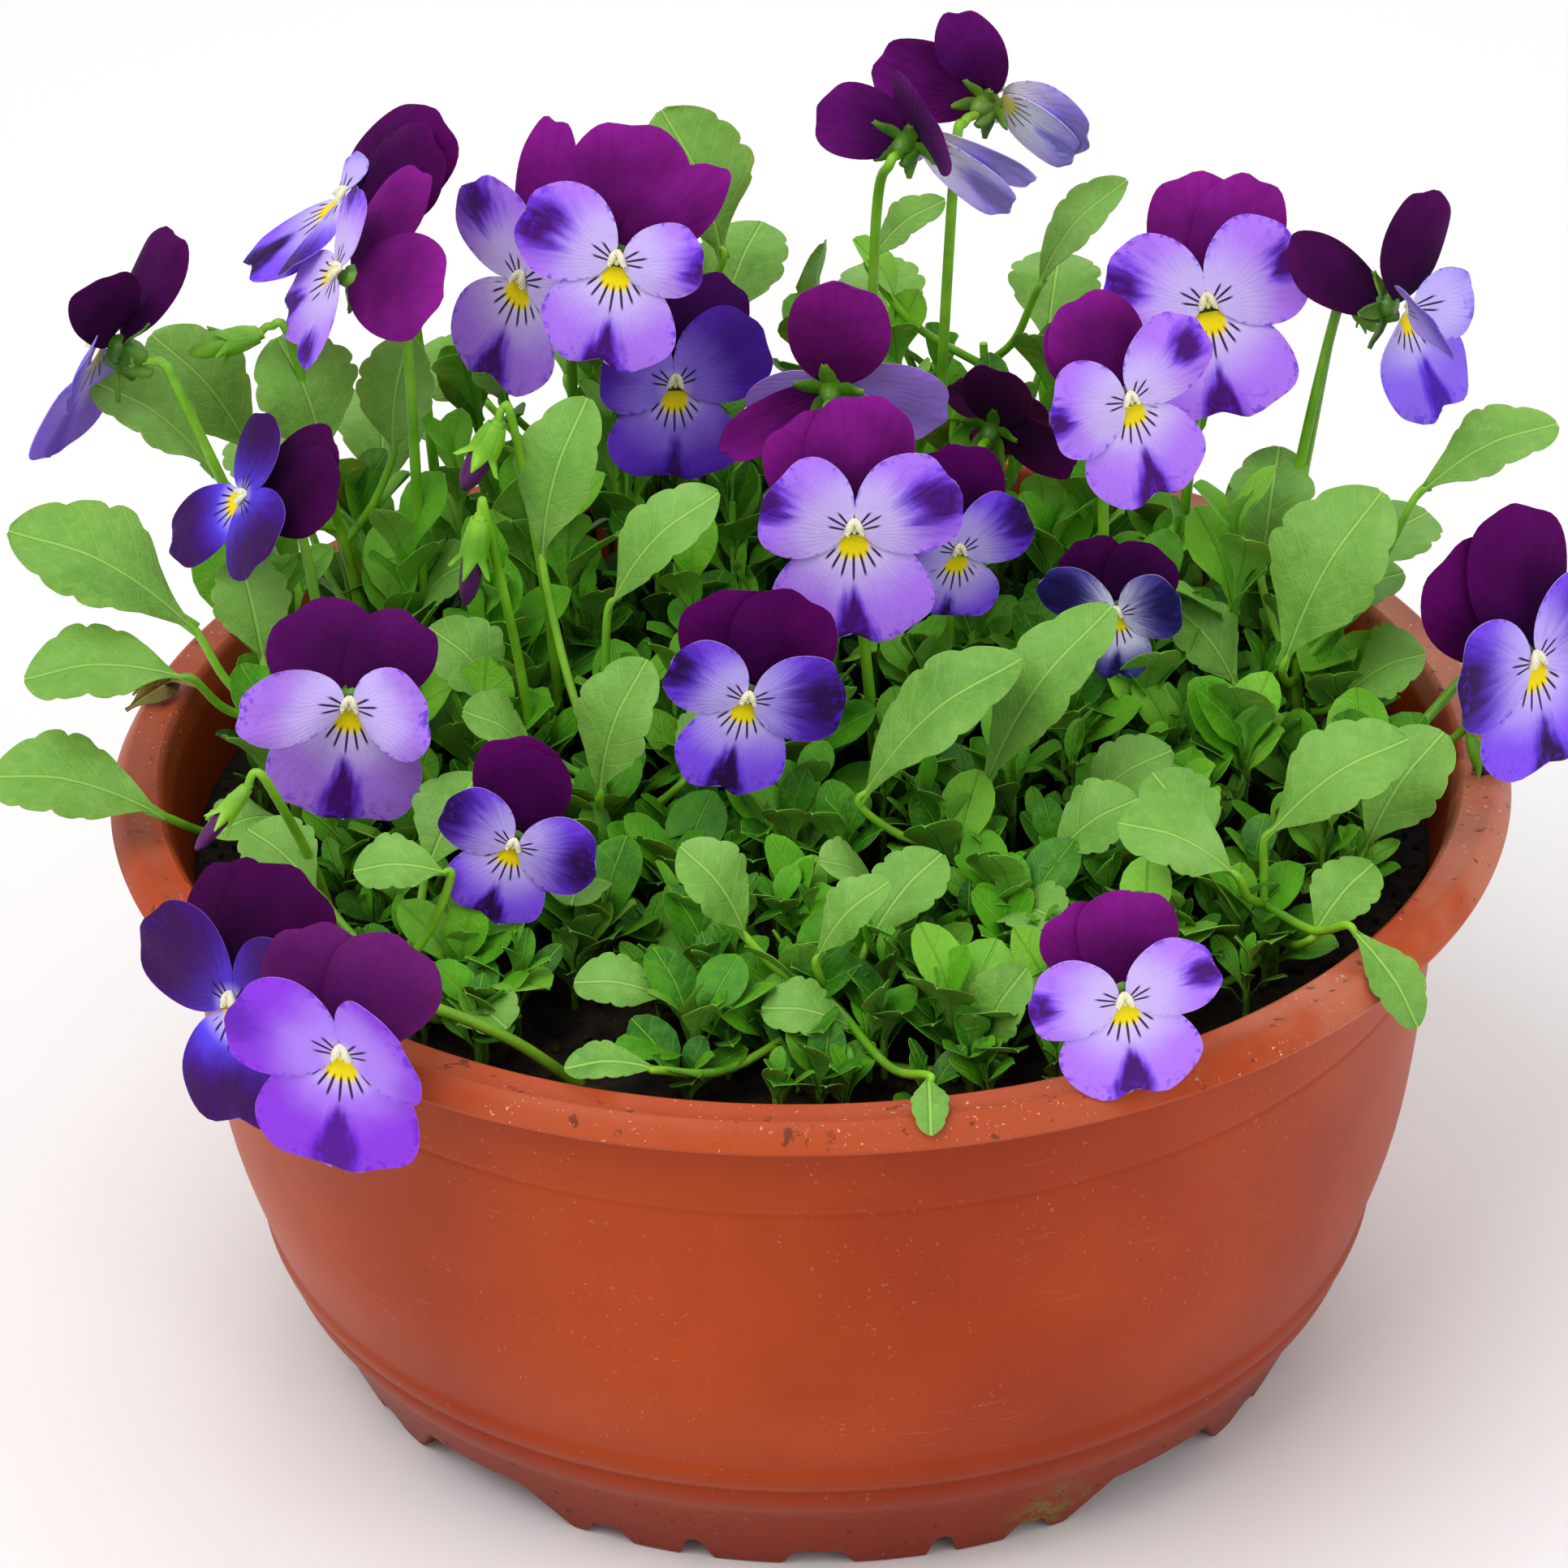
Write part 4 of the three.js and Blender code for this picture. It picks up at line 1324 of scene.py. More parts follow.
    def _blades(self, points: Any, leaf: bpy.types.Object, plan: ShootPlan) -> Any:
        """Set the leaves round each shoot.

        Args:
            points: Where the shoots stand, with their rise and spin.
            leaf: The leaf to repeat.
            plan: How the shoots grow.

        Returns:
            The leaves.
        """
        copies = self.sheet.node("GeometryNodeDuplicateElements", {
            "Geometry": points, "Amount": self._given("Leaves")}, domain="POINT").outputs
        index = Number(self.sheet, copies["Duplicate Index"])
        level = (index + 1.0) / self._given("Leaves") * (1.0 - plan.bare) + plan.bare
        heading = self._kept("spin") + index * plan.divergence
        heading += self._random(-self.STRAY, self.STRAY, 13)
        leaves = self._store(copies[0], heading=heading, level=level,
                             tone=self._random(*plan.tones, 14))
        level = self._kept("level")
        up = self.sheet.vector(0.0, 0.0, self._kept("rise") * level)
        raised = self.sheet.node("GeometryNodeSetPosition", {"Geometry": leaves, "Offset": up})
        low, high = plan.pitch
        pitch = self._random(low, low + 0.5, 15) + level * (high - low)
        sway = self._random(-self.SWAY, self.SWAY, 16)
        euler = self.sheet.vector(pitch, sway, self._kept("heading"))
        scale = self._random(*self.GROWTH, 17) * self._given("Leaf Scale")
        scale *= self.GROWTH[1] - level * self.TOP_LEAF
        source = self.sheet.node("GeometryNodeObjectInfo", {"Object": leaf, "As Instance": True})
        return self._copies(raised.outputs[0], source.outputs["Geometry"], scale, euler)


# Leaves
@dataclass(frozen=True)
class Blade:
    """A leaf blade between two points.

    Attributes:
        base: Where the blade starts.
        tip: Where it ends.
        width: Its greatest width.
        tone: How bright it is, 0 to 1.
        roll: Turn about its own length, in degrees.
        fold: How far its halves are raised, in degrees.
    """

    base: Place
    tip: Place
    width: float
    tone: float = 0.5
    roll: float = 0.0
    fold: float = 14.0


@dataclass
class LeafShape:
    """Makes blades with a scalloped margin, a folded midrib and an arched back."""

    rows: int = 44
    columns: int = 11
    teeth: int = 6
    tooth_depth: float = 0.12
    thickness: float = 0.45
    skew: float = 1.35
    full: float = 0.48
    claw: float = 0.1
    arch: float = 0.1
    curl: float = 0.05
    ripple: float = 0.035
    sky: Place = (0, -0.35, 1)

    def half_width(self, share: Points, width: float) -> Points:
        """Half width along the blade, with scallops over its outer part."""
        blunt = 1.15 - (1.15 - self.full) * ease(share, 0.3, 0.8)
        oval = np.sin(np.pi * np.clip(share, 0, 0.997) ** self.skew) ** blunt
        half = np.maximum(width / 2 * oval, self.claw * width / 2 * (1 - share))
        scallop = (1 - np.abs(np.sin(np.pi * self.teeth * share**0.9))) ** 2
        return half * (1 - self.tooth_depth * scallop * ease(share, 0.2, 0.45))

    def add(self, batch: MeshBatch, blade: Blade, seed: int) -> None:
        """Add a blade to a batch.

        Args:
            batch: Where it goes.
            blade: The blade.
            seed: Number that gives its waves.
        """
        rng = np.random.default_rng(seed)
        base = np.array(blade.base, float)
        axis = np.array(blade.tip, float) - base
        length = float(np.linalg.norm(axis))
        axis /= length
        turn = Matrix.Rotation(math.radians(blade.roll), 3, Vector(axis))
        across = np.array(turn @ Vector(unit(np.cross(axis, self.sky))))
        normal = np.cross(across, axis)
        even = np.linspace(0, 1, self.rows)[:, None]
        share = 0.6 * np.sin(even * np.pi / 2) + 0.4 * even
        sides = np.linspace(-1, 1, self.columns)[None, :]
        wide = np.abs(sides)
        x = sides * self.half_width(share, blade.width)
        fold = math.tan(math.radians(blade.fold)) * np.abs(x) * (1 - 0.35 * wide)
        swing = share * rng.uniform(9, 14) + rng.uniform(0, 6) + 2.5 * np.sign(sides)
        waves = self.ripple * blade.width * wide**2 * np.sin(swing)
        arch = self.arch * length * np.sin(share * np.pi)
        rise = arch + fold + waves - self.curl * length * ease(share, 0.6, 1.0)
        along = share * length
        points = (base + along[..., None] * axis + x[..., None] * across
                  + rise[..., None] * normal)
        flat = np.stack([x, np.broadcast_to(along, x.shape)], axis=-1)
        thick = self.thickness * (1 - 0.6 * wide**3) * np.ones_like(x)
        batch.shell(points, thick, flat, 0, blade.tone)


@dataclass
class Plant:
    """A leafy plant: a stem, its petioles and its blades.

    STEM and PETIOLE are radii. A petiole leaves the stem lower than its blade by DROP, a share of
    the stem, sags by a share of its own length and runs a little way into the blade.

    Attributes:
        name: The frame's node.
        foot: Where the stem stands on the soil.
        top: The top of the stem.
        rows: The leaves: where each starts and ends, and its width.
    """

    name: str
    foot: tuple[float, float]
    top: Place
    rows: Sequence[Sequence[float]]

    STEM = (1.8, 1.5, 0.9)
    PETIOLE = (0.95, 0.9, 0.85, 0.5)
    BOW = (0.8, -0.6, 0)
    DROP = 0.35
    JOINTS = (0.1, 0.92)
    SAG = 0.12
    TUCK = 0.12

    def build(self, leaf: bpy.types.Material, stem: bpy.types.Material, soil: Soil) -> None:
        """Make the plant's blades and stems and hang them on the frame.

        Args:
            leaf: The blades' finish.
            stem: The stems' finish.
            soil: The soil it stands in.
        """
        greens, stems, shape = MeshBatch(), MeshBatch(), LeafShape()
        foot, crown = soil.footing(self.foot), np.array(self.top, float)
        middle = (foot + crown) / 2 + self.BOW
        stems.tube([foot - [0, 0, 1], middle, crown], self.STEM, 6)
        for number, row in enumerate(self.rows):
            blade = Blade(tuple(row[:3]), tuple(row[3:6]), row[6])
            shape.add(greens, blade, len(self.name) * 31 + number * 7)
            base, tip = np.array(blade.base, float), np.array(blade.tip, float)
            level = (base[2] - foot[2]) / (crown[2] - foot[2])
            joint = foot + (crown - foot) * np.clip(level - self.DROP, *self.JOINTS)
            sag = self.SAG * float(np.linalg.norm(base - joint))
            bend = joint + (base - joint) * 0.6 - [0, 0, sag]
            tuck = base + (tip - base) * self.TUCK
            stems.tube([joint, bend, base, tuck], self.PETIOLE, 6, 7)
        mount(greens.build(f"{self.name}_leaves", [leaf]), "leaves", self.name)
        mount(stems.build(f"{self.name}_stems", [stem]), "stalks")


# Blooms
@dataclass(frozen=True)
class PetalForm:
    """One petal in the bloom's own axes.

    Attributes:
        angle: Angle from straight up, clockwise seen from the front.
        length: Distance from the eye to the tip.
        width: Greatest width.
        lean: Lean out of the bloom's plane in degrees, forwards is positive.
        lift: How far it lies in front of the eye's plane.
        slot: Material slot: upper, side or lower.
        bow: How far its tip curls forwards, in millimetres.
        cup: How far its sides curl forwards, in millimetres.
        notch: Depth of the notch at its tip.
        twist: Turn about its own middle line, in degrees.
        skew: Over 1, it is widest nearer its tip.
        full: Under 1, its outline is squarer than an oval.
        lobes: Depth of the waves of its margin, as a share of its width.
    """

    angle: float
    length: float
    width: float
    lean: float
    lift: float
    slot: int
    bow: float = 0.0
    cup: float = 0.0
    notch: float = 0.0
    twist: float = 0.0
    skew: float = 1.0
    full: float = 0.92
    lobes: float = 0.02

    def to_bloom(self, across: Points, along: Points, rise: Points) -> Points:
        """Turn the petal's own places into the bloom's axes."""
        turn = math.radians(self.angle)
        x = along * math.sin(turn) + across * math.cos(turn)
        y = along * math.cos(turn) - across * math.sin(turn)
        return np.stack([x, y, self.lift + rise], axis=-1)


UPPER = PetalForm(0, 0, 0, -12, -1.7, 0, bow=-1.6, cup=-1.2, skew=1.15, full=0.85)
SIDE = PetalForm(0, 0, 0, 5, 0.7, 1, bow=-1.2, cup=-0.5, skew=1.15, full=0.88)
LOWER = PetalForm(0, 0, 0, 7, -0.2, 2, bow=-1.4, cup=-1.0, notch=0.9, skew=1.2, full=0.76,
                  lobes=0.03)
STANDARD = (replace(UPPER, lift=-2.8), UPPER, SIDE, SIDE, LOWER)
OWN = ("angle", "length", "width", "lean", "twist", "full", "skew")


@dataclass
class Bloom:
    """A pansy bloom: five petals, the eye, the calyx with its spur, and the stalk.

    START is the distance from the eye to a petal's root, STALK holds the stalk's radii, SEPALS the
    sepals' angles and SPREAD how far a petal's size strays.

    Attributes:
        name: The frame's nodes are bloom_ and stalk_ with this name.
        facing: The way it faces, in degrees round from the front towards +X.
        tilt: Its tilt upwards in degrees.
        spin: Its turn clockwise in degrees.
        size: Its size beside the standard bloom.
        foot: Where its stalk stands on the soil.
        paint: Its colours.
        rows: The upper left petal, the upper right, the left and right sides and the lower one,
            each with the values in OWN that it has.
        via: Points that the stalk passes through instead of a plain bow.
        cup: How far all its petals' sides curl forwards, where it isn't the usual.
    """

    name: str
    facing: float
    tilt: float
    spin: float
    size: float
    foot: tuple[float, float]
    paint: Paint
    rows: Sequence[Sequence[float]]
    via: Sequence[Place] = ()
    cup: float | None = None

    START = 2.6
    CALYX_FRONT = 1.2
    CALYX_DEPTH = 8.0
    KNOB, TUFT = 3, 4
    SPREAD = (0.97, 1.03)
    THICKNESS = 0.36
    NOTCH_WIDTH = 0.22
    CREST = 0.22
    CRESTS = 13
    WAVE = 0.7
    SEPALS = (0, 70, 145, 215, 290)
    STALK = (1.25, 1.15, 1.1, 1.05, 1.0, 0.95)
    FRAME_PETALS = (
        PetalForm(-22, 26, 22, -14, -2.4, 0), PetalForm(15, 26, 22, -14, -1, 0),
        PetalForm(-66, 20, 19, 6, 0.4, 1), PetalForm(66, 20, 19, 6, 0.4, 1),
        PetalForm(181, 22, 27, 8, 0, 2),
    )

    def petals(self) -> list[PetalForm]:
        """The five petals."""
        habits = {} if self.cup is None else {"cup": self.cup}
        return [replace(base, **dict(zip(OWN, row)), **habits)
                for base, row in zip(STANDARD, self.rows, strict=True)]

    def axes(self) -> Points:
        """The bloom's right, top and forward directions, as rows."""
        around, up, turn = (math.radians(value) for value in (self.facing, self.tilt, self.spin))
        forward = np.array([math.sin(around) * math.cos(up), -math.cos(around) * math.cos(up),
                            math.sin(up)])
        level = Vector((math.cos(around), math.sin(around), 0))
        right = np.array(Matrix.Rotation(-turn, 3, Vector(forward)) @ level)
        return np.array([right, np.cross(forward, right), forward])

    def eye(self) -> Points:
        """Where the eye is: the frame's solid less the middle of the standard bloom."""
        low, high = (np.array(corner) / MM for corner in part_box(f"bloom_{self.name}"))
        corners = [np.array([[0, 0, self.CALYX_FRONT], [0, 0, -self.CALYX_DEPTH]])]
        for form in self.FRAME_PETALS:
            share = np.linspace(0, 1, 4)
            along = self.START + (form.length - self.START) * (1 - np.cos(share * np.pi)) / 2
            sweep = share * 0.93 * np.pi
            half = form.width / 2 * np.sin(sweep) * (1 - 0.38 * np.cos(sweep))
            half = np.maximum(half, 0.06 * form.width)
            rise = along * math.tan(math.radians(form.lean))
            corners += [form.to_bloom(side * half, along, rise) for side in (-1, 1)]
        spots = np.vstack(corners) @ self.axes() * self.size
        return (low + high) / 2 - (spots.min(axis=0) + spots.max(axis=0)) / 2

    def _petal(self, batch: MeshBatch, form: PetalForm, rng: np.random.Generator) -> None:
        """Add one petal, still in the bloom's own axes.

        Args:
            batch: Where it goes.
            form: The petal.
            rng: Gives its small irregularities.
        """
        rows, columns = 21, 19
        share = np.linspace(0.02, 0.992, rows)[:, None]
        side = np.sin(np.linspace(-1, 1, columns) * np.pi / 2)[None, :]
        length = form.length * rng.uniform(*self.SPREAD)
        width = form.width * rng.uniform(*self.SPREAD)
        half = width / 2 * np.sin(np.pi * share**form.skew) ** form.full
        swing = rng.uniform(0, 6)
        frill = np.sin(share * 9.5 + swing + np.sign(side) * 0.8) * ease(share, 0.25, 0.6)
        across = side * half * (1 + form.lobes * frill)
        aside = across / (width / 2)
        claw = self.START * 0.4
        along = claw + (length - claw) * (1 - np.cos(share * np.pi)) / 2
        along = along * (1 + form.lobes * np.cos(aside * 7.0 + swing) * share)
        dent = np.exp(-((aside / self.NOTCH_WIDTH) ** 2)) * ease(share, 0.7, 1.0)
        along = along - form.notch * dent
        ripple = np.sin(aside * rng.uniform(3, 5) + rng.uniform(0, 6))
        wave = self.WAVE * ripple * share * np.abs(aside)
        crests = np.arctan2(across, along) * self.CRESTS + rng.uniform(0, 6)
        crest = self.CREST * np.cos(crests) * share**2
        rise = form.bow * share**2 + form.cup * aside**2 + wave + crest
        roll = math.radians(form.twist) * ease(share, 0.0, 0.4)
        beside = across * np.cos(roll) - rise * np.sin(roll)
        lean = along * math.tan(math.radians(form.lean))
        rise = across * np.sin(roll) + rise * np.cos(roll) + lean
        flat = np.stack([across * (-1.0 if form.angle < 0 else 1.0), along], axis=-1)
        thick = self.THICKNESS * (1 - 0.5 * np.abs(side) ** 3) * np.ones_like(across)
        points = form.to_bloom(beside, along, rise)
        batch.shell(points, thick, flat, form.slot, float(rng.uniform(0.15, 0.85)))

    def _eye_parts(self, batch: MeshBatch) -> None:
        """Add the pistil's knob and the two cream tufts that meet above it."""
        pistil = [(0, 1.0, 0.4), (0, 0.5, 1.3), (0, -0.2, 1.6)]
        batch.tube(pistil, [0.6, 0.7, 0.5, 0.3], 4, 8, self.KNOB)
        for side in (-1, 1):
            stops = [(side * 0.1, 2.8, 1.0), (side * 0.6, 1.9, 1.6), (side * 1.1, 0.6, 1.6),
                     (side * 1.8, -0.5, 1.1)]
            batch.tube(stops, [0.3, 0.65, 0.8, 0.65, 0.25], 4, 8, self.TUFT)
            for turn in range(11):
                share = turn / 10
                root = np.array([side * (0.4 + 1.2 * share), 2.5 - 2.5 * share, 1.6])
                end = root + np.array([-side * 0.3 + 0.2 * math.sin(turn * 4.0), -0.35, 0.8])
                middle = (root + end) / 2 + [0, 0.1, 0.1]
                batch.tube([root, middle, end], [0.26, 0.22, 0.1], 2, 5, self.TUFT)

    def _calyx(self, batch: MeshBatch, rng: np.random.Generator) -> None:
        """Add the receptacle, the spur and five pointed sepals, in the bloom's own axes.

        Args:
            batch: Where they go.
            rng: Gives their small irregularities.
        """
        batch.tube([(0, 0.2, -1.4), (0, 0.4, -3), (0, 0.6, -6.4), (0, 0.8, -8.2)],
                   [1.9, 2.7, 2.2, 1.0], 4, 10)
        batch.tube([(0, -1.2, -1.6), (0, -2.2, -5), (0, -2.1, -8.6), (0, -1.4, -9.8)],
                   [1.7, 1.5, 1.2, 0.5], 4, 8)
        share, side = np.linspace(0, 1, 7)[:, None], np.linspace(-1, 1, 5)[None, :]
        half = 1.6 * np.sin(np.pi * (0.18 + 0.8 * share)) + 0.08
        for turn in self.SEPALS:
            around = math.radians(turn + rng.uniform(-8, 8))
            out = np.array([math.sin(around), math.cos(around), 0])
            across = np.array([math.cos(around), -math.sin(around), 0])
            reach = 1.6 + 6.6 * share * rng.uniform(0.85, 1.15)
            droop = 2.0 * ease(share, 0.3, 1.0) * rng.uniform(0.4, 1.2)
            rise = -4.0 - 0.1 * reach - droop + 0.5 * side**2
            points = (out * reach[..., None] + across * (side * half)[..., None]
                      + np.array([0, 0, 1]) * rise[..., None])
            flat = np.stack([side * half, reach * np.ones_like(side)], axis=-1)
            batch.shell(points, np.full((7, 5), 0.45), flat)

    def build(self, petals: Sequence[bpy.types.Material], green: bpy.types.Material,
              shaded_sepal: bpy.types.Material, soil: Soil) -> None:
        """Make the bloom's petals, calyx and stalk and hang them on the frame.

        Args:
            petals: Finishes of the petals, the knob and the tufts.
            green: The stalk's finish.
            shaded_sepal: The calyx's finish.
            soil: The soil it stands in.
        """
        rng = np.random.default_rng(sum(map(ord, self.name)))
        axes, eye = self.axes(), self.eye()
        corolla, calyx, stalk = MeshBatch(), MeshBatch(), MeshBatch()
        for form in self.petals():
            self._petal(corolla, form, rng)
        self._eye_parts(corolla)
        self._calyx(calyx, rng)
        for batch in (corolla, calyx):
            batch.points = [points @ axes * self.size + eye for points in batch.points]
        node = f"bloom_{self.name}"
        mount(corolla.build(f"{node}_petals", petals, 70), "petals", node)
        mount(calyx.build(f"{node}_calyx", [shaded_sepal]), "stalks", node)
        foot, forward = soil.footing(self.foot, 1), axes[2]
        end = eye - forward * self.CALYX_DEPTH * self.size
        hook = end - forward * 4 + [0, 0, 0.6]
        shoulder = end - forward * 7 - [0, 0, 5]
        middle = (foot + shoulder) / 2 + (shoulder - foot) * [-0.08, -0.08, 0] + [0, 0, 2]
        stops = [foot, *(self.via or (middle, shoulder)), hook, end]
        stalk.tube(stops, self.STALK, 8, 9)
        mount(stalk.build(f"stalk_{self.name}_green", [green]), "stalks", f"stalk_{self.name}")


@dataclass(frozen=True)
class Bud:
    """A nodding closed bud on a hooked stalk.

    Attributes:
        name: The bud's name.
        neck: Where its stalk meets it.
        tip: The end of its rolled petals.
        foot: Where its stalk stands on the soil.
        girth: Radius of its rolled petals.
        pod: True where it has lost its petals and swells to a green pod.
    """

    name: str
    neck: Place
    tip: Place
    foot: tuple[float, float]
    girth: float
    pod: bool = False

    SEPALS = 5
    ASIDE = (0.2, 0.9, 0.3)
    STALK = (1.1, 1.0, 0.9, 0.85, 0.8)

    def build(self, green: bpy.types.Material, petal: bpy.types.Material, soil: Soil) -> None:
        """Make the bud and its stalk.

        Args:
            green: The finish of the stalk, the sepals and a pod.
            petal: The rolled petals' finish.
            soil: The soil it stands in.
        """
        neck, tip = np.array(self.neck), np.array(self.tip)
        reach = float(np.linalg.norm(tip - neck))
        ahead = (tip - neck) / reach
        side = unit(np.cross(ahead, self.ASIDE))
        other = np.cross(ahead, side)
        batch = MeshBatch()
        rolled = [neck + ahead * reach * share for share in (0.2, 0.5, 0.8, 1.0)]
        girths = [self.girth * share for share in (0.5, 0.95, 1.0, 0.92, 0.7, 0.25)]
        batch.tube(rolled, girths, 6, 10, 0 if self.pod else 1)
        cup = [neck - ahead, neck + ahead * reach * 0.2, neck + ahead * reach * 0.4]
        batch.tube(cup, [self.girth * share for share in (0.5, 0.85, 0.9)], 5, 10)
        share, spread = np.linspace(0, 1, 8)[:, None], np.linspace(-1, 1, 5)[None, :]
        half = self.girth * 0.85 * np.sin(np.pi * (0.2 + 0.76 * share))
        swell = 0.8 + 0.45 * np.sin(np.pi * share * 0.7) + 0.9 * ease(share, 0.7, 1.0)
        rise = self.girth * swell - 0.35 * self.girth * spread**2
        for turn in range(self.SEPALS):
            around = 2 * math.pi * turn / self.SEPALS + 0.5
            out = side * math.cos(around) + other * math.sin(around)
            across = np.cross(ahead, out)
            along = share * reach * (0.62 + 0.1 * math.sin(3.0 * turn))
            points = (neck + ahead * along[..., None] + out * rise[..., None]
                      + across * (spread * half)[..., None])
            flat = np.stack([spread * half, along * np.ones_like(spread)], axis=-1)
            batch.shell(points, np.full((8, 5), 0.35), flat)
        foot = soil.footing(self.foot, 1)
        hook = neck - ahead * 2.5 + [0, 0, 1.0]
        bend = hook - [ahead[0] * 4, ahead[1] * 4, 4.0]
        middle = (foot + bend) / 2 + [1.5, 1.0, 0]
        batch.tube([foot, middle, bend, hook, neck], self.STALK, 8, 8)
        mount(batch.build(f"bud_{self.name}", [green, petal]), "stalks")


# The planting
BLOOMS: tuple[Bloom, ...] = (
    Bloom("far_left", -95, 20, 0, 1.15, (-98, 22), Paint.PERIWINKLE, (
        (-19, 22, 15, -4, -36, 0.75, 1.3), (19, 16.5, 15.5, 20, 38, 0.75, 1.4),
        (-100, 16, 14, 8), (100, 16, 14, 8), (180, 24, 19, 9, -26))),
    Bloom("rear_left", -75, 38, 6, 1.05, (-74, 62), Paint.MIDNIGHT, (
        (-14, 23.5, 24, -6, -25, 0.7, 0.95), (18, 22, 21, -8, -20), (-60, 11, 9),
        (132, 20, 14, 22), (184, 22.5, 17, 21)), cup=-2.0),
    Bloom("left_pair", -70, 30, 50, 1, (-78, 34), Paint.PLUM, (
        (-63, 25, 16, -10, -18), (18, 26, 22, -14), (-58, 17, 12, 12), (105, 20, 12),
        (170, 20, 20))),
    Bloom("back_left", -35, 5, 15, 1.05, (-48, 70), Paint.PLUM, (
        (-16, 29, 14), (18, 24, 20), (-45, 22, 17.5), (60, 19, 19), (184, 22.5, 25))),
    Bloom("back_centre", -10, 8, 2, 1.02, (-34, 70), Paint.PLUM, (
        (1, 25.5, 24), (47, 25, 14, -14, 0, 1.2, 0.95), (-62, 21, 20), (82, 16.5, 15.5),
        (187, 21, 27)), ((-35, 74, 170), (-36, 64, 208))),
    Bloom("violet", 10, 20, 8, 0.92, (-14, 66), Paint.VIOLET, (
        (-12, 24, 20, -20), (30, 27, 18, -20), (-72, 17, 20), (55, 22.5, 21),
        (177, 20.5, 29.5))),
    Bloom("facing_back", 172, 10, 0, 0.95, (4, 14), Paint.PLUM, (
        (-8, 27.5, 22, 2), (122, 27, 11, -10, -20), (-112, 25.5, 19), (134, 22, 20),
        (180, 17, 24))),
    Bloom("centre", 3, 3, 0, 1.03, (14, -4), Paint.PLUM, (
        (-29, 22.5, 20), (8, 23.2, 20.5), (-62, 18.5, 21), (65, 21, 20.5), (181, 22, 30))),
    Bloom("behind_centre", 12, 3, 3, 0.8, (30, 26), Paint.MIDNIGHT, (
        (-24, 24, 21), (8, 25.5, 22), (-67, 19, 19), (57, 20.5, 20), (190, 17.5, 26))),
    Bloom("dark_back", 160, 15, -10, 0.8, (36, 30), Paint.DUSK, (
        (-4, 27, 19), (-86, 23, 19), (-60, 15, 13), (60, 15, 13), (180, 11, 13))),
    Bloom("right_front", 18, 8, -6, 0.9, (60, 14), Paint.PLUM, (
        (-22, 22.5, 20), (-14, 24.5, 21.5), (-84, 18, 22.5), (50, 22, 19.5),
        (173, 23.5, 27.5))),
    Bloom("right_large", -4, 18, -8, 1.05, (76, 52), Paint.PLUM, (
        (-1, 25, 19.5), (30, 25, 18), (-62, 20, 19.5), (61, 21, 21.5), (178, 21.5, 29.5))),
    Bloom("top_left", 150, 15, 45, 0.9, (12, 56), Paint.PALE, (
        (26, 20.5, 17.5, -8, -35), (-84, 18, 26, -20, 28), (-152, 29, 9), (100, 10, 9),
        (184, 27, 13)), ((13, 51, 160), (15, 43, 224))),
    Bloom("top_right", 140, 15, 35, 0.9, (26, 64), Paint.PALE, (
        (36, 25.5, 21, -15, -20), (-23, 24, 16, 0, -25), (-138, 25, 19), (110, 9, 9),
        (200, 22, 16))),
    Bloom("far_right", 65, 5, 0, 0.95, (92, 34), Paint.PERIWINKLE, (
        (-30, 19, 16.5, -42), (28, 24.5, 17.5, 14, 28), (-75, 16, 18, 40, -40),
        (98, 11, 16, 48), (176, 25, 27, 20, -18))),
    Bloom("right_edge", 35, 5, -8, 1.08, (104, -18), Paint.MIDNIGHT, (
        (-22, 25, 23), (16, 27, 25), (-78, 19, 22), (67, 20.5, 21), (180, 21.5, 28))),
    Bloom("small_dark", -10, 0, 0, 0.72, (60, -16), Paint.NAVY, (
        (-38, 20.5, 21), (32, 20, 21), (-66, 22.5, 16), (72, 18, 20), (178, 20.5, 18))),
    Bloom("middle", 4, 0, 8, 0.88, (-8, -26), Paint.MIDNIGHT, (
        (-20, 23, 23), (30, 25, 25), (-62, 20, 18), (82, 21, 22), (188, 23, 25))),
    Bloom("left_middle", -5, 0, 4, 1, (-66, -24), Paint.LAVENDER, (
        (-36, 19.5, 24), (38, 20, 17), (-76, 20, 16, 32, -34), (74, 17, 18, 30, 30),
        (184, 25, 30))),
    Bloom("low_left", -10, 0, 10, 0.8, (-44, -60), Paint.MIDNIGHT, (
        (-9, 23.5, 22), (6, 22, 19), (-63, 19, 18.5), (88, 20.5, 22), (192, 21.5, 24.5))),
    Bloom("left_dark", -60, 30, 50, 0.88, (-92, -4), Paint.INDIGO, (
        (-22, 23.5, 21), (5, 24, 21.5), (-57, 20, 17), (62, 20.5, 23), (172, 26, 18))),
    Bloom("corner_rear", -35, 12, -10, 1, (-82, -66), Paint.INDIGO, (
        (-18, 26, 25), (24, 26, 25), (-52, 23.5, 20), (67, 19, 20), (177, 23, 28)),
        ((-86, -71, 122), (-94, -81, 134))),
    Bloom("corner_front", -12, -4, 3, 1.05, (-44, -94), Paint.ORCHID, (
        (-28, 21.5, 21), (27, 22.5, 20), (-70, 21.5, 21), (62, 14.5, 24, 25), (184, 25, 29)),
        ((-58, -100, 124), (-75, -106, 136))),
    Bloom("low_right", 5, -4, -4, 0.92, (50, -98), Paint.PLUM, (
        (-33, 20, 17), (10, 20.5, 19.5), (-80, 19, 20), (66, 20, 19), (177, 22.5, 28))),
)

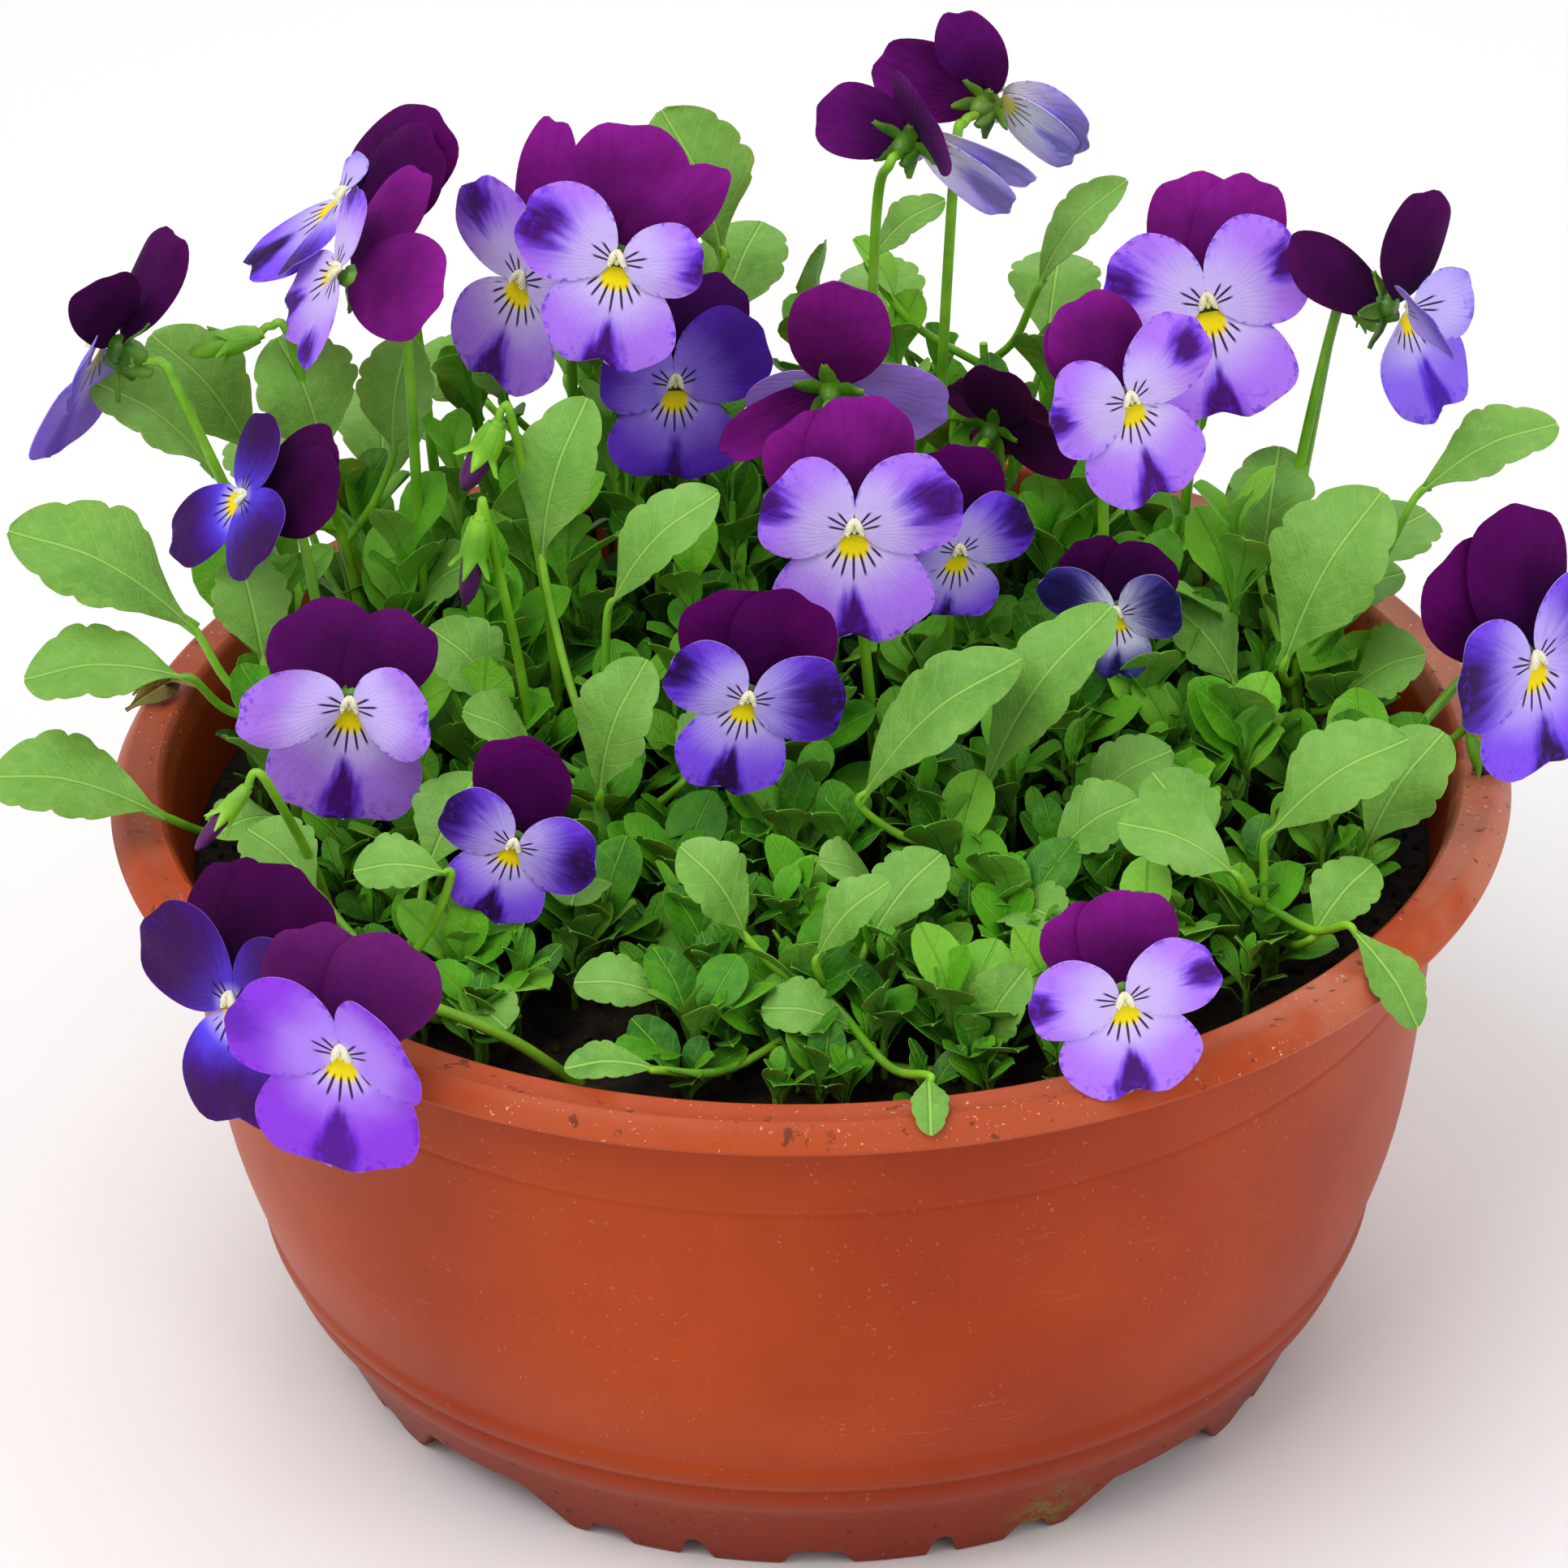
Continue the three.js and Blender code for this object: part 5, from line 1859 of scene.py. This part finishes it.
PLANTS: tuple[Plant, ...] = (
    Plant("left_plant", (-100, -12), (-107, -14, 146), (
        (-120, -10, 162, -154, -10, 186, 26), (-120, -22, 158, -152, -26, 162, 20),
        (-126, -34, 134, -159, -34, 145, 22), (-108, -2, 150, -112, 6, 170, 16),
        (-103, -26, 128, -116, -40, 134, 14), (-96, -8, 132, -84, -12, 150, 16))),
    Plant("rear_left_plant", (-88, 42), (-96, 44, 160), (
        (-118, 26, 178, -140, 24, 201, 18), (-112, 44, 172, -130, 46, 200, 22),
        (-97, 36, 176, -104, 36, 203, 24), (-84, 48, 170, -80, 50, 196, 17),
        (-104, 62, 150, -118, 80, 160, 18), (-88, 66, 150, -88, 92, 166, 20),
        (-80, 34, 140, -66, 28, 158, 16))),
    Plant("back_plant", (-34, 92), (-36, 90, 172), (
        (-62, 78, 166, -68, 74, 190, 18), (-44, 82, 168, -40, 84, 194, 18),
        (-66, 98, 156, -84, 108, 164, 20), (-50, 104, 158, -48, 126, 172, 20),
        (-16, 80, 198, -27, 84, 230, 25), (-18, 96, 172, -8, 118, 190, 20),
        (-26, 104, 144, -16, 120, 150, 18))),
    Plant("back_right_plant", (40, 84), (38, 84, 176), (
        (14, 80, 196, 29, 78, 212, 11), (48, 66, 196, 65, 64, 222, 13),
        (66, 84, 176, 84, 94, 194, 18), (52, 100, 166, 56, 122, 180, 20),
        (22, 98, 168, 14, 118, 180, 19), (68, 92, 142, 84, 100, 148, 19),
        (60, 70, 158, 70, 62, 176, 16), (22, 78, 160, 14, 68, 180, 16))),
    Plant("right_plant", (98, 12), (98, 10, 140), (
        (122, 22, 170, 149, 22, 187, 17), (94, -4, 146, 112, 2, 182, 26),
        (100, 14, 146, 119, 14, 158, 15), (108, 0, 138, 122, -2, 148, 19),
        (92, 26, 150, 96, 38, 174, 18), (112, 34, 146, 128, 48, 154, 18),
        (86, 6, 136, 74, 12, 152, 16), (104, 52, 132, 114, 68, 138, 17))),
    Plant("right_front_plant", (88, -58), (86, -62, 128), (
        (80, -72, 139, 58, -72, 152, 20), (86, -60, 140, 112, -58, 161, 21),
        (108, -38, 124, 122, -34, 148, 20), (100, -82, 134, 113, -94, 119, 11),
        (94, -74, 126, 106, -66, 138, 14), (76, -54, 130, 66, -44, 146, 17),
        (72, -78, 120, 60, -86, 124, 13))),
    Plant("front_plant", (4, -90), (2, -88, 126), (
        (-13, -84, 135, -24, -84, 155, 16), (0, -90, 133, 13, -91, 151, 12),
        (8, -97, 122, -10, -97, 128, 14), (-27, -90, 125, -45, -90, 130, 13),
        (31, -100, 118, 38, -102, 138, 14), (20, -125, 130, 20, -139, 127, 7),
        (-29, -117, 127, -46, -121, 131, 9), (10, -76, 128, 24, -66, 142, 15))),
    Plant("left_front_plant", (-78, -76), (-78, -76, 126), (
        (-68, -76, 145, -86, -78, 148, 14), (-94, -62, 132, -108, -52, 142, 16),
        (-74, -62, 136, -64, -50, 152, 16), (-66, -84, 120, -58, -96, 124, 13),
        (-90, -78, 126, -100, -74, 136, 12))),
    Plant("middle_left_plant", (-42, -20), (-42, -22, 138), (
        (-52, -2, 172, -43, 0, 206, 18), (-39, -16, 168, -18, -16, 194, 17),
        (-41, -40, 140, -32, -40, 170, 18), (-54, -30, 142, -66, -36, 158, 16),
        (-60, -8, 142, -74, -6, 160, 18), (-26, -26, 134, -14, -18, 148, 15),
        (-44, -52, 128, -46, -68, 134, 14))),
    Plant("middle_right_plant", (30, -40), (29, -40, 128), (
        (9, -42, 139, 39, -42, 171, 20), (33, -36, 137, 57, -30, 175, 18),
        (46, -50, 130, 62, -50, 144, 17), (36, -60, 124, 46, -74, 132, 15),
        (12, -56, 126, 2, -64, 140, 14), (52, -30, 128, 70, -28, 142, 16))),
)

BUDS: tuple[Bud, ...] = (
    Bud("upper", (-59.5, -4, 203), (-66.5, -6, 190), (-50, 16), 2.6),
    Bud("lower", (-62.5, -24, 193), (-66, -25, 175), (-54, -8), 2.3),
    Bud("left", (-106, -68, 160), (-116, -72, 149), (-92, -46), 1.6),
    Bud("right", (131, -12, 134), (136, -16, 123), (106, 2), 1.6),
    Bud("rear", (-108, 32, 206), (-122, 30, 203), (-92, 52), 2.3, True),
    Bud("side", (110, 37, 205), (115, 39, 199), (90, 40), 1.4, True),
)

LITTER: tuple[Blade, ...] = (
    Blade((-139, 20, 127.6), (-129, 29, 130), 6.5, 0.3, 25, 34),
    Blade((-134, 28, 128.4), (-124, 25, 130), 5, 0.7, -30, 30),
    Blade((-138, 26, 127.8), (-134, 34, 129.6), 4, 0.1, 40, 40),
)

SHOOTS: Mapping[str, ShootPlan] = {
    "crown": ShootPlan(0.0230, 114, 0.036, 2, (27, 15), fall=0.0, back_gain=6.5, bare=0.45,
                       tones=(0.1, 1.0), pitch=(0.3, 1.2), inner=62, turn=100),
    "tall": ShootPlan(0.0215, 102, 0.030, 3, (24, 12), fall=0.1, back_gain=12.0,
                      tones=(0.1, 1.0), pitch=(0.1, 1.1)),
    "broad": ShootPlan(0.0165, 108, 0.025, 5, (18, 9), back_gain=5.0, pitch=(0.1, 1.0)),
    "narrow": ShootPlan(0.0125, 113, 0.020, 8, (14, 4.6), back_gain=4.0, tones=(0.0, 0.7),
                        pitch=(0.2, 1.2)),
}


@dataclass
class Planting:
    """Everything that grows in the bowl, and the dry leaves on its rim."""

    soil: Soil
    sage: Foliage = Foliage("sage_leaf", (64, 124, 26), (114, 168, 66), (152, 196, 112))
    # The young shoots take a strong painted shade low down.
    young: Foliage = Foliage("young_leaf", (34, 108, 6), (84, 166, 14), (136, 204, 58),
                             (120, 182, 70), (134, 196, 56), 0.35, low_shade_share=0.9)
    dry: Foliage = Foliage("dry_leaf", (88, 58, 26), (148, 116, 62), (196, 170, 104),
                           (150, 116, 66), (190, 160, 100))
    stem: GreenStem = GreenStem()
    # The sepals' green is darker than the stalks' as painted shade, for calyxes that sit behind the
    # petals.
    shaded_sepal: GreenStem = GreenStem("sepals", (60, 112, 14), (108, 160, 36), blush_share=0.3)
    knob: GreenStem = GreenStem("pistil_knob", (228, 212, 110), (240, 230, 160),
                                (220, 200, 100), 0.0)
    tuft: GreenStem = GreenStem("cream_tuft", (236, 228, 184), (248, 242, 214),
                                (230, 220, 170), 0.0)
    rolled: GreenStem = GreenStem("rolled_petals", (58, 6, 68), (92, 20, 100), (40, 2, 50), 0.4)

    def build(self) -> None:
        """Make every bloom, plant, bud and shoot."""
        green, shaded_sepal, sage = self.stem.material(), self.shaded_sepal.material(), self.sage.material()
        eye_parts = [self.knob.material(), self.tuft.material()]
        petals = {paint: [*paint.materials(), *eye_parts] for paint in Paint}
        for bloom in BLOOMS:
            bloom.build(petals[bloom.paint], green, shaded_sepal, self.soil)
        for plant in PLANTS:
            plant.build(sage, green, self.soil)
        rolled = self.rolled.material()
        for bud in BUDS:
            bud.build(green, rolled, self.soil)
        self._shoots()
        self._litter()

    def _shoots(self) -> None:
        """Make the low shoots that fill the bowl between the plants."""
        finish = self.young.material()
        shape = LeafShape(rows=9, columns=3, tooth_depth=0.0, claw=0.16, skew=1.9)
        for name, plan in SHOOTS.items():
            length, width = plan.leaf
            batch = MeshBatch()
            shape.add(batch, Blade((0, 0, 0), (0, length, 0), width), 5)
            leaf = batch.build(f"leaf_{name}", [finish])
            leaf.data.attributes.remove(leaf.data.attributes["tone"])
            bed = self.soil.bed(plan.radius, plan.inner, plan.turn)
            piece = Scatter(f"shoots_{name}", bed, finish).shoots(leaf, plan)
            bpy.data.objects.remove(leaf)
            mount(piece, "leaves")

    def _litter(self) -> None:
        """Lay the dry leaves on the rim."""
        litter, shape = MeshBatch(), LeafShape(rows=16, columns=7)
        for number, blade in enumerate(LITTER):
            shape.add(litter, blade, number + 40)
        mount(litter.build("rim_litter", [self.dry.material()]), "leaves")


@dataclass(frozen=True)
class Studio:
    """Camera, lights, floor and surroundings; the lights and the floor are in metres."""

    target: Place = (-5.3, 0.0, 119.16)
    distance: float = 1160.0
    elevation: float = 30.15
    roll: float = 1.02
    lens: float = 132.29
    sensor: float = 36.0
    sky: float = 0.6
    floor_half: float = 4.0
    floor_tint: Colour = (247, 247, 247)
    light_size: float = 1.2
    lit: Place = (0, 0, 0.12)
    lights: tuple[tuple[str, Place, float], ...] = (
        ("key", (-0.6, -0.7, 1.6), 17.0), ("fill", (1.1, -1.0, 0.8), 5.0),
        ("back", (0.2, 1.2, 1.3), 6.0),
    )

    def build(self) -> None:
        """Make the studio."""
        self._camera()
        self._floor()
        for name, place, power in self.lights:
            lamp = bpy.data.lights.new(name, "AREA")
            lamp.size, lamp.energy = self.light_size, power
            light = place_object(name, lamp)
            light.location = place
            ahead = Vector(self.lit) - Vector(place)
            light.rotation_euler = ahead.to_track_quat("-Z", "Y").to_euler()
        world = bpy.data.worlds.new("studio")
        world.use_nodes = True
        background = world.node_tree.nodes["Background"].inputs
        background["Color"].default_value = (1, 1, 1, 1)
        background["Strength"].default_value = self.sky
        bpy.context.scene.world = world
        bpy.context.scene.view_settings.view_transform = "Standard"

    def _camera(self) -> None:
        """Stand the camera at the viewing angle."""
        up = math.radians(self.elevation)
        offset = Vector((0, -math.cos(up), math.sin(up))) * self.distance * MM
        camera = place_object("camera", bpy.data.cameras.new("camera"))
        camera.data.lens = self.lens
        camera.data.sensor_width = self.sensor
        camera.data.clip_start = 0.01
        camera.location = Vector(self.target) * MM + offset
        roll = Matrix.Rotation(-math.radians(self.roll), 3, "Z")
        facing = (-offset).to_track_quat("-Z", "Y").to_matrix() @ roll
        camera.rotation_euler = facing.to_euler()
        bpy.context.scene.camera = camera

    def _floor(self) -> None:
        """Lay the pale floor."""
        half = self.floor_half
        corners = [(-half, -half, 0), (half, -half, 0), (half, half, 0), (-half, half, 0)]
        mesh = bpy.data.meshes.new("floor")
        mesh.from_pydata(corners, [], [(0, 1, 2, 3)])
        mesh.materials.append(Surface.named("floor_white", self.floor_tint).finish(0.8))
        place_object("floor", mesh)


def main() -> None:
    """Build the planter around its frame."""
    logging.basicConfig(level=logging.INFO, format="%(name)s %(message)s")
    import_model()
    Studio().build()
    soil = Soil()
    Bowl().build()
    soil.build()
    Planting(soil).build()


if __name__ == "__main__":
    main()
